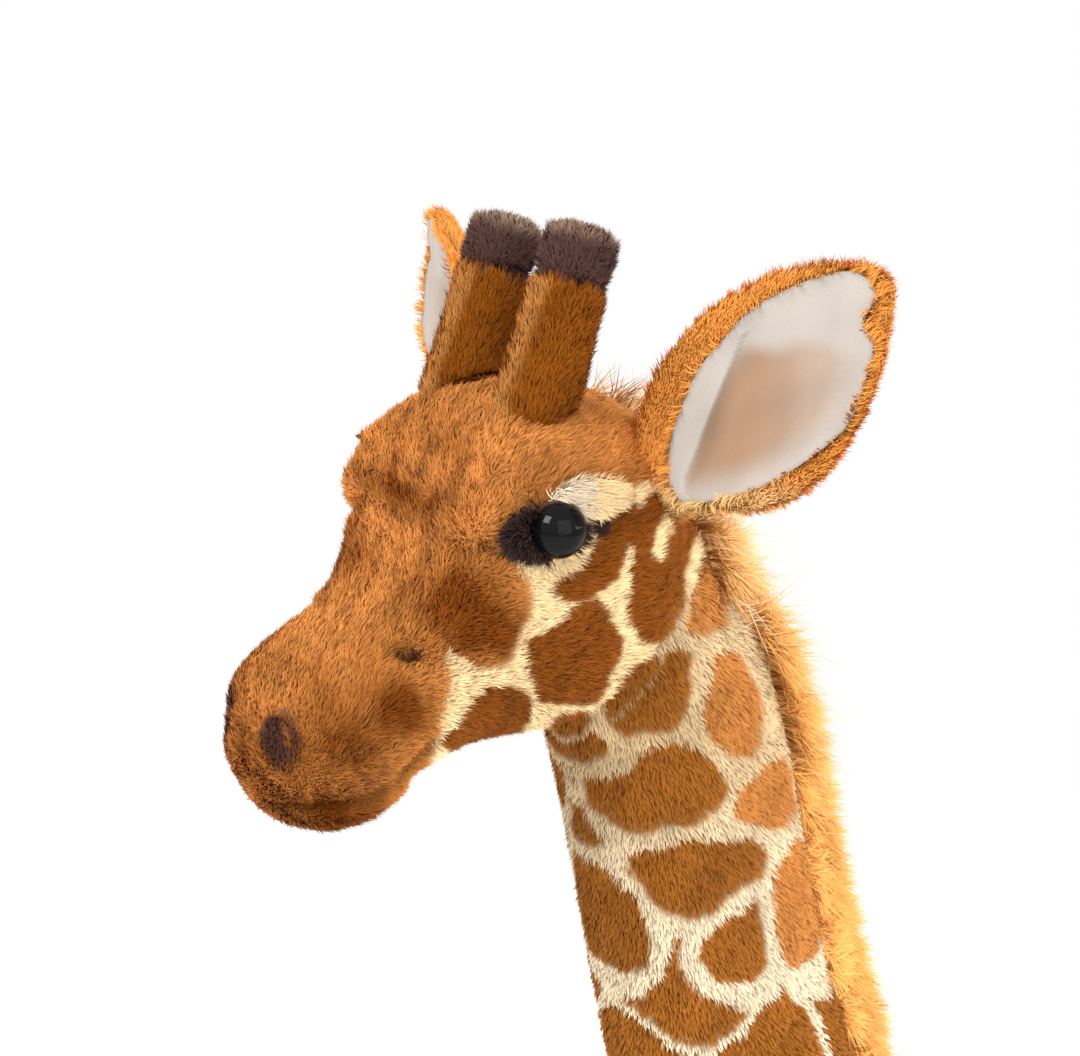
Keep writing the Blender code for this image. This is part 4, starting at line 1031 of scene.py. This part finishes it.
def photo_px(points):
    """Places in the photograph of points that are first folded onto the near side."""
    return to_px(near_side(points))


def patch_colour(points, normals):
    return toned(EYE_DARK, points)


def lid_colour(points, normals):
    px = photo_px(points)
    brow = smooth_step(546, 534, px[:, 0] + waves(points, 0.003, 101) * 4)
    tuft = smooth_step(578, 592, px[:, 0] + waves(points, 0.003, 102) * 6)
    cream = mix(LID_CREAM, CREAM_HEAD, tuft)
    return toned(mix(cream, FACE_LIGHT, brow), points)


def nostril_colour(points, normals):
    return toned(mix(FACE_DEEP, NOSTRIL_DARK, nostril_share(photo_px(points))), points)


def from_eye(points):
    return unit(points - by_side(points, EYE_CENTRE))


def lid_flow(points):
    return by_side(points, np.array((0.3, 0.75, -0.25)))


for sign, side in SIDES:
    pad_piece(f"eye_patch_{side}", "head", patch_colour, PATCH_PILE, from_eye, per_mm2=8.0,
              lean=(0.45, 0.95), sink=0.0004)
    pad_piece(f"eyelid_{side}", "head", lid_colour, LID_PILE, lid_flow, per_mm2=16.0,
              lean=(0.55, 1.15), sink=0.0004)
    facing = unit(np.array((0.77 * sign, -0.63, 0.10)))
    pad_piece(f"nostril_{side}", "head", nostril_colour, 0, shift=-facing * 0.0050)


# Eyes: a fine dome with a clear rim on a stem
def lathe(name, centre, axis, profile, sides):
    """A turned body: profile gives (along, radius) pairs from the back to the front."""
    first = unit(np.cross(axis, np.array((0.0, 0.0, 1.0))))
    second = np.cross(axis, first)
    angles = np.arange(sides) * 2 * math.pi / sides
    ring = np.cos(angles)[:, None] * first + np.sin(angles)[:, None] * second
    points = np.concatenate([centre + axis * along + ring * radius for along, radius in profile])
    rows = len(profile)
    index = np.arange(rows * sides).reshape(rows, sides)
    a, b = index[:-1], np.roll(index[:-1], -1, axis=1)
    c, d = index[1:], np.roll(index[1:], -1, axis=1)
    faces = np.concatenate([np.stack(corners, axis=2).reshape(-1, 3) for corners in ((a, b, d), (a, d, c))])
    return new_object(name, points, faces), points


EYE_GLOSS = node_material("eye_gloss_dome", 0.03, attribute="coat", noise=0.05, noise_scale=900,
                          specular=0.13)
steps = np.linspace(-0.22, math.pi / 2, 26)
dome = [(math.sin(t) * EYE_RADIUS * 0.86, math.cos(t) * EYE_RADIUS) for t in steps[:-1]]
dome.append((EYE_RADIUS * 0.86, 0))
for sign, side in SIDES:
    axis = mirrored(EYE_FACING, sign)
    centre = mirrored(EYE_CENTRE, sign) - axis * 0.0006
    profile = [(-0.0140, 0.0), (-0.0140, 0.0016), (-0.0024, 0.0017), (-0.0018, 0.0050)] + dome
    item, points = lathe(f"eye_dome_{side}", centre, axis, profile, 48)
    radius = np.linalg.norm(np.cross(points - centre, axis), axis=1)
    rim = smooth_step(0.90, 0.99, radius / EYE_RADIUS)
    paint(item, mix(np.array((0.004, 0.004, 0.005)), np.array((0.075, 0.040, 0.022)), rim))
    item.data.materials.append(EYE_GLOSS)
    settle(item, body="head")
    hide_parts(f"eye_{side}")


# Horns: orange-brown tubes and dark caps with frosted, ragged tops
def fur_part(node, body, colour_of, pile, per_mm2, flow, voxel=0.0016, inset=0.0014,
             width=STRAND, lean=(0.75, 1.20), keep_of=None, length_of=None, shade=SKIN_SHADE, tip=1.12,
             stray=0.14, clump=0.22, plugs=(), lift=0.0, aside=0.0):
    """A stuffed piece: its skin, and the pile that stands on it."""
    points, faces = one_skin([grown_node(node, CLOSING), *plugs], voxel=voxel, rounds=4, inset=inset)
    normals = vertex_normals(points, faces)
    skin = skin_piece(f"{node}_skin", points, faces, colour_of(points, normals) * shade)
    settle(skin, body=body)
    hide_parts(node)
    roots, root_normals = sample(points, faces, strand_count(points, faces, per_mm2))
    if keep_of is not None:
        keep = keep_of(roots, root_normals)
        roots, root_normals = roots[keep], root_normals[keep]
    lengths = pile if length_of is None else pile * length_of(roots, root_normals)
    hair = fur(f"{node}_pile", roots, root_normals, flow(roots, root_normals), lengths, width,
               colour_of(roots, root_normals), lean=lean, tip=tip, stray=stray, clump=clump, lift=lift,
               aside=aside)
    settle(hair, body=body)


for sign, side in SIDES:
    tube_points, _ = arrays_of(NODES[f"horn_{side}"])
    cap_points, _ = arrays_of(NODES[f"horn_cap_{side}"])
    horn_way = unit(cap_points.mean(axis=0) - tube_points.mean(axis=0))
    cap_start = (cap_points @ horn_way).min()
    cap_end = (cap_points @ horn_way).max()

    def horn_colour(points, normals):
        # painted light: orange on the horn's edges that face along this axis, where light falls on them
        aside = np.abs(normals @ mirrored(HORN_LIT_AXIS, sign))
        brown = mix(HORN_BROWN, HORN_EDGE_LIT, smooth_step(0.80, 1.00, aside) * 0.70)
        near_cap = points @ horn_way - cap_start + waves(points, 0.003, 131) * 0.0009
        return toned(mix(brown, HORN_TIP, smooth_step(-0.0016, 0.0006, near_cap)), points)

    def cap_colour(points, normals):
        top = smooth_step(cap_start + 0.008, cap_end - 0.001, points @ horn_way)
        frost = np.clip(top * (0.70 + 0.6 * np.abs(waves(points, 0.004, 61))), 0, 1)
        return mix(HORN_TIP, HORN_FROST, frost)

    def up_flow(points, normals):
        return repeated(horn_way, points)

    def cap_length(points, normals):
        return 0.80 + 0.50 * smooth_step(cap_start + 0.008, cap_end, points @ horn_way)

    cap_tree = node_tree(f"horn_cap_{side}")
    foot = mirrored(HORN_FOOT, sign)
    cap_foot = cap_points.mean(axis=0) - horn_way * CAP_DROP
    cap_heart = cap_points.mean(axis=0) - horn_way * CAP_DROP * 1.6
    fur_part(f"horn_{side}", "head", horn_colour, HORN_PILE, 6.0, up_flow,
             keep_of=lambda roots, normals: (outside(roots, head_tree, -0.001)
                                             & outside(roots, cap_tree, -0.0008)),
             plugs=(ball(foot, HORN_PLUG), ball(cap_foot, CAP_PLUG)))
    fur_part(f"horn_cap_{side}", "head", cap_colour, CAP_PILE, 9.0, up_flow,
             length_of=cap_length, lean=(0.55, 0.95), stray=0.28, clump=0.4, inset=0.0026, tip=1.25,
             plugs=(ball(cap_heart, CAP_HEART),))


def on_ear(places, tree, face):
    """Which places have the ear behind them."""
    return np.array([tree.ray_cast(Vector(place + face * 0.02), Vector(-face))[0] is not None
                     for place in places])


def lining_sheet(side, sign, way, face):
    """A thin closed sheet with the lining's outline, laid along the front of its solid."""
    solid, _ = arrays_of(NODES[f"ear_lining_{side}"])
    aside = np.cross(way, face)
    heart = solid.mean(axis=0)
    front = solid[(solid - heart) @ face > 0]

    def terms(points):
        u, v = (points - heart) @ way, (points - heart) @ aside
        return np.stack([np.ones(len(u)), u, v, u * u, u * v, v * v], axis=1)

    fit = np.linalg.lstsq(terms(front), (front - heart) @ face, rcond=None)[0]
    outline = rounded(LINING_PX, 4)
    centre = outline.mean(axis=0)
    start = mirrored(CAMERA, sign)

    def laid(places):
        rays = mirrored(np.array([ray_of(px)[1] for px in places]), sign)
        on = start + rays * (((heart - start) @ face) / (rays @ face))[:, None]
        for _ in range(6):
            gap = terms(on) @ fit - (on - heart) @ face
            on = on + rays * (gap / (rays @ face))[:, None]
        return on

    shell = node_tree(f"ear_shell_{side}")
    reach = np.ones(len(outline))
    for _ in range(14):
        free = ~on_ear(laid(centre + (outline - centre) * (reach / LINING_MARGIN)[:, None]), shell, face)
        reach[free] -= 0.02
    reach = (np.roll(reach, 1) + reach * 2 + np.roll(reach, -1)) / 4
    outline = centre + (outline - centre) * reach[:, None]
    steps = np.linspace(0, 1, LINING_RINGS + 1)[1:]
    places = np.concatenate([[centre]] + [centre + (outline - centre) * step for step in steps])
    spots_on = laid(places)
    count = len(outline)
    faces = []
    for index in range(count):
        after = (index + 1) % count
        faces.append((0, 1 + index, 1 + after))
        for ring in range(LINING_RINGS - 1):
            a, b = 1 + ring * count + index, 1 + ring * count + after
            faces += [(a, a + count, b + count), (a, b + count, b)]
    faces = np.array(faces)
    total = len(spots_on)
    rear = spots_on - face * LINING_THICKNESS
    rim = total - count
    sides = []
    for index in range(count):
        a, b = rim + index, rim + (index + 1) % count
        sides += [(a, a + total, b + total), (a, b + total, b)]
    across = np.cross(spots_on[faces[0, 1]] - spots_on[0], spots_on[faces[0, 2]] - spots_on[0])
    faces = np.concatenate([faces, faces[:, ::-1] + total, np.array(sides)])
    return np.concatenate([spots_on, rear]), faces if across @ face > 0 else faces[:, ::-1], outline


# Ears: furry shells with a long fuzzy rim, and pale satin linings with one soft fold
SATIN = node_material("ear_satin", 0.55, sheen=0.05, attribute="coat", noise=0.05, noise_scale=900, bump=0.12,
                      specular=0.25)
EAR_WAY = unit(np.array((0.76, 0.11, 0.63)))
EAR_FACE = unit(np.array((0.32, -0.94, 0.02)))
for sign, side in SIDES:
    way = mirrored(EAR_WAY, sign)
    face = mirrored(EAR_FACE, sign)
    root = mirrored(EAR_ROOT, sign)
    sheet_points, sheet_faces, edge_px = lining_sheet(side, sign, way, face)

    def ear_colour(points, normals):
        px = photo_px(points)
        rear = smooth_step(0.1, 0.6, normals @ -face)
        # cream on the lower rim near the root, partly the ear's own pale fur and partly painted light where
        # that rim is lit golden
        cream = smooth_step(468, 505, px[:, 1]) * smooth_step(840, 750, px[:, 0]) * (1 - rear * 0.6)
        return toned(mix(EAR_ORANGE, EAR_CREAM, cream), points)

    def ear_flow(points, normals):
        outward = points - root - way * ((points - root) @ way)[:, None]
        rim = smooth_step(0.80, 0.25, np.abs(normals @ face))[:, None]
        return way * (1 - 0.45 * rim) + unit(outward) * (0.25 + 0.7 * rim)

    def ear_keep(roots, normals):
        covered = (normals @ face > 0.1) & (inside_distance(photo_px(roots), edge_px) > 1)
        return ~covered & outside(roots, head_tree, -0.001)

    def ear_length(points, normals):
        rim = smooth_step(0.80, 0.25, np.abs(normals @ face))
        return 1 + (RIM_PILE / EAR_PILE - 1) * rim

    fur_part(f"ear_shell_{side}", f"ear_{side}", ear_colour, EAR_PILE, 8.0, ear_flow,
             keep_of=ear_keep, length_of=ear_length, lean=(0.98, 1.30), voxel=0.0018, inset=0.0004,
             width=STRAND * 0.85, shade=0.92, tip=1.10, stray=0.10, clump=0.18)
    points, faces = sheet_points, sheet_faces
    middle = (points.max(axis=0) + points.min(axis=0)) / 2
    px = photo_px(points)
    fold = line_px_distance(px, FOLD_PX)
    edge = np.interp(px[:, 1], [p[1] for p in FOLD_PX], [p[0] for p in FOLD_PX])
    front_flap = smooth_step(1.5, -1.5, px[:, 0] - edge)
    lift = 0.0004 * front_flap * hump(fold, 16) - 0.0005 * (1 - front_flap) * hump(fold, 9)
    wrinkle = waves(points, 0.016, 71) * 0.00025
    points = points + face * (lift + wrinkle)[:, None]
    # painted shade: the hollow behind the fold in a darker colour
    hollow = (1 - front_flap) * smooth_step(336, 364, px[:, 1] + waves(points, 0.02, 72) * 4)
    hollow *= 1 - 0.55 * smooth_step(750, 850, px[:, 0])
    depth = inside_distance(px, edge_px)
    hollow = hollow * smooth_step(0, 40, depth)
    tone = mix(LINING_LIGHT, LINING_HOLLOW_SHADE, hollow) * (1 + 0.04 * waves(points, 0.012, 73))[:, None]
    # painted shade deeper along the fold, and along the lining's edge under the lapping fur
    tone = tone * (1 - 0.30 * hollow * hump(fold, 12) - 0.25 * smooth_step(5, -1, depth))[:, None]
    lining = skin_piece(f"ear_lining_{side}_satin", points, faces, tone, SATIN)
    settle(lining, body=f"ear_{side}")
    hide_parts(f"ear_lining_{side}")
    # The fuzz that laps over the lining's edge
    roots, normals = sample(points, faces, int(26000 * QUICK_SHARE) + 400)
    depth = inside_distance(photo_px(roots), edge_px) + waves(roots, 0.004, 111) * 1.5
    lapping = (normals @ face > 0.2) & (depth < 2)
    roots, normals = roots[lapping], normals[lapping]
    outward = unit(roots - middle - face * ((roots - middle) @ face)[:, None])
    hair = fur(f"ear_lap_{side}", roots, normals, outward + way * 0.5, EAR_PILE, STRAND,
               ear_colour(roots, normals), lean=(0.6, 1.1), tip=1.2)
    settle(hair, body=f"ear_{side}")


# Mane along the neck's back, with pale loose hairs at its top
low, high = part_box("mane")


def mane_colour(points, normals):
    top = smooth_step(high.z - 0.055, high.z, points[:, 2])
    grain = tone_noise(points) + 0.10 * waves(points, 0.003, 81)
    return mix(MANE_ORANGE, MANE_PALE, top * 0.3) * grain[:, None]


def mane_flow(points, normals):
    return np.array((0.0, 0.55, -0.65)) + points * (60, 0, 0)


fur_part("mane", "neck", mane_colour, 0.0130, 9.0, mane_flow, lean=(0.40, 0.90), stray=0.28,
         clump=0.5, width=STRAND * 1.2, voxel=0.0018, inset=0.0024, lift=0.5, aside=0.8, shade=0.95)
# The mane goes on above its strip, up the back of the neck and the head, and ends in long pale hairs
for name, count, length, limits, spread, lean, colour in (
        ("mane_top", 14000, 0.0160, (high.z - 0.030, 0.553), 0.0120, (0.50, 1.00), MANE_ORANGE),
        ("mane_edge", 15000, 0.0105, (low.z + 0.015, high.z - 0.028), 0.0145, (0.75, 1.15), MANE_ORANGE),
        ("mane_foot", 4000, 0.0090, (0.318, low.z + 0.020), 0.0075, (0.5, 1.0), MANE_ORANGE),
        ("mane_wisps", 500, 0.0280, (high.z - 0.030, 0.545), 0.0100, (0.45, 0.90), MANE_PALE)):
    found = []
    for points, faces in ((neck_points, neck_faces), (head_points, head_faces)):
        roots, normals = sample(points, faces, int(count * 12 * QUICK_SHARE) + 2000)
        keep = (normals[:, 1] > 0.25) & (roots[:, 2] > limits[0]) & (roots[:, 2] < limits[1])
        keep &= np.abs(roots[:, 0]) < spread * (1 + 0.35 * waves(roots, 0.02, 121))
        found.append((roots[keep], normals[keep]))
    roots = np.concatenate([f[0] for f in found])
    normals = np.concatenate([f[1] for f in found])
    free = outside(roots, head_tree, -0.001) & (roots[:, 1] > -0.075)
    picked = np.flatnonzero(free)
    picked = picked[:: max(1, len(picked) // int(count * max(QUICK_SHARE, 0.5)))]
    roots, normals = roots[picked], normals[picked]
    tone = mix(colour, MANE_PALE, smooth_step(0.480, 0.545, roots[:, 2]) * 0.35)
    normals = unit(normals + roots * (70, 0, 0))
    flow = np.array((0.0, 0.75, -0.45)) + roots * (40, 0, 0)
    hair = fur(name, roots, normals, flow, length, STRAND * (0.7 if "wisps" in name else 1.2),
               toned(tone, roots), lean=lean, stray=0.35, clump=0.6, shade=0.97, lift=0.5, aside=0.8)
    settle(hair, body="neck")

# Tail cord and its dark tuft
def tail_colour(points, normals):
    return toned(mix(CREAM_BODY, PATCH_NECK, smooth_step(-0.3, 0.3, waves(points, 0.03, 91))), points)


def tuft_colour(points, normals):
    return TAIL_DARK * (tone_noise(points) + 0.25 * waves(points, 0.004, 95))[:, None]


def down_flow(points, normals):
    return repeated(DOWN, points)


fur_part("tail", "tail", tail_colour, 0.0042, 3.0, down_flow, width=STRAND * 1.3,
         inset=0.0010)
fur_part("tail_tuft", "tail", tuft_colour, 0.0150, 7.0, down_flow, lean=(0.35, 0.6),
         width=STRAND * 1.4, clump=0.8, stray=0.25)

# Hooves and soles
SUEDE = node_material("hoof_suede_nap", 0.85, sheen=0.3, attribute="coat", noise=0.30, noise_scale=700,
                      bump=0.45, specular=0.15)
FELT = node_material("sole_felt", 0.95, sheen=0.15, colour=(0.045, 0.028, 0.020), noise=0.35,
                     noise_scale=1400, bump=0.6)
for leg, _, _ in LEGS:
    body = f"leg_{leg}"
    points, faces = one_skin([grown_node(f"hoof_{leg}", CLOSING)], voxel=0.0016, rounds=14, inset=0.0)
    low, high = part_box(f"hoof_{leg}")
    normals = vertex_normals(points, faces)
    cleft = hump(points[:, 0] - (low.x + high.x) / 2, 0.0013) * smooth_step(0.2, 0.7, -normals[:, 1])
    seam = hump(points[:, 2] - low.z - 0.0045, 0.0008)
    points = points - normals * (0.0022 * cleft + 0.0007 * seam)[:, None]
    # painted shade in the cleft and the seam pressed into the hoof
    tone = HOOF_DARK * (tone_noise(points) * (1 - 0.5 * cleft - 0.4 * seam))[:, None]
    hoof = skin_piece(f"hoof_{leg}_suede", points, faces, tone, SUEDE)
    settle(hoof, body=body)
    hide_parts(f"hoof_{leg}")
    points, faces = grown_node(f"sole_{leg}", 0)
    sole = new_object(f"sole_{leg}_felt", points, faces, smooth=False)
    step = sole.modifiers.new("edge", "BEVEL")
    step.width = 0.0004
    step.segments = 2
    sole.data.materials.append(FELT)
    settle(sole, body=body)
    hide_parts(f"sole_{leg}")

# Hidden parts that keep their solids
STEEL = node_material("armature_wire", 0.38, colour=(0.48, 0.48, 0.50), noise=0.08, noise_scale=900,
                      bump=0.05, metallic=1)
PLASTIC = node_material("washer_moulded", 0.42, colour=(0.70, 0.70, 0.68), noise=0.04, noise_scale=900)
for name, item in NODES.items():
    if name.startswith(("neck_wire", "leg_rod", "eye_washer")):
        item.data.materials.clear()
        item.data.materials.append(PLASTIC if "washer" in name else STEEL)

# Stage: pale floor and backdrop, soft light, the photograph's camera
WHITE = node_material("pale_stage", 0.9, colour=(0.86, 0.85, 0.84), noise=0.01, noise_scale=5)
stage_tree = WHITE.node_tree
far = add_node(stage_tree, "TexCoord")
length = add_node(stage_tree, "VectorMath")
length.operation = "LENGTH"
fade = add_node(stage_tree, "MapRange", From_Min=0.35, From_Max=1.60)
fade.interpolation_type = "SMOOTHSTEP"
glow = add_node(stage_tree, "Emission", Strength=1.0)
lens = add_node(stage_tree, "LightPath")
share = add_node(stage_tree, "Math")
share.operation = "MULTIPLY"
stage_mix = add_node(stage_tree, "MixShader")
stage_tree.links.new(far.outputs["Object"], length.inputs[0])
stage_tree.links.new(length.outputs["Value"], fade.inputs["Value"])
stage_tree.links.new(fade.outputs["Result"], share.inputs[0])
stage_tree.links.new(lens.outputs["Is Camera Ray"], share.inputs[1])
stage_tree.links.new(share.outputs[0], stage_mix.inputs[0])
stage_tree.links.new(stage_tree.nodes["Principled BSDF"].outputs[0], stage_mix.inputs[1])
stage_tree.links.new(glow.outputs[0], stage_mix.inputs[2])
stage_tree.links.new(stage_mix.outputs[0], stage_tree.nodes["Material Output"].inputs["Surface"])
bpy.ops.mesh.primitive_plane_add(size=80, location=(0, 0, 0))
floor = bpy.context.object
floor.name = "floor"
floor.data.materials.append(WHITE)

world = bpy.data.worlds.new("studio")
world.use_nodes = True
bpy.context.scene.world = world
tree = world.node_tree
tree.nodes.clear()
out = add_node(tree, "OutputWorld")
soft = add_node(tree, "Background", Color=(1.0, 0.985, 0.965, 1), Strength=0.80)
white = add_node(tree, "Background", Color=(1, 1, 1, 1), Strength=1.0)
path = add_node(tree, "LightPath")
seen = path.outputs["Is Camera Ray"]
for kind in ("Is Glossy Ray", "Is Transmission Ray"):
    either = add_node(tree, "Math")
    either.operation = "MAXIMUM"
    tree.links.new(seen, either.inputs[0])
    tree.links.new(path.outputs[kind], either.inputs[1])
    seen = either.outputs[0]
choose = add_node(tree, "MixShader")
for index, source in enumerate((seen, soft.outputs[0], white.outputs[0])):
    tree.links.new(source, choose.inputs[index])
tree.links.new(choose.outputs[0], out.inputs[0])


def area_light(name, place, aim, size, power, colour=(1, 1, 1)):
    data = bpy.data.lights.new(name, "AREA")
    data.shape = "SQUARE"
    data.size = size
    data.energy = power
    data.color = colour
    item = bpy.data.objects.new(name, data)
    item.location = place
    item.rotation_euler = (Vector(aim) - Vector(place)).to_track_quat("-Z", "Y").to_euler()
    bpy.context.scene.collection.objects.link(item)


HEAD_AIM = (0.0, -0.08, 0.50)
area_light("key", (0.35, -1.50, 1.75), HEAD_AIM, 0.8, 34, (1.0, 0.97, 0.93))
area_light("fill", (1.60, -0.20, 0.95), HEAD_AIM, 1.4, 10)
area_light("rim", (-0.90, 1.10, 1.40), HEAD_AIM, 0.9, 12)
area_light("back", (1.00, 1.20, 1.00), HEAD_AIM, 0.9, 13, (1.0, 0.98, 0.95))

camera = bpy.data.cameras.new("photo_camera")
camera.sensor_fit = "HORIZONTAL"
camera.sensor_width = SENSOR
camera.lens = FOCAL_PX * SENSOR / FRAME_PX[0]
camera.clip_start = 0.01
camera_item = bpy.data.objects.new("photo_camera", camera)
camera_item.location = CAMERA
camera_item.rotation_euler = Vector(-BACK).to_track_quat("-Z", "Y").to_euler()
bpy.context.scene.collection.objects.link(camera_item)
bpy.context.scene.camera = camera_item
bpy.context.scene.view_settings.view_transform = "Standard"
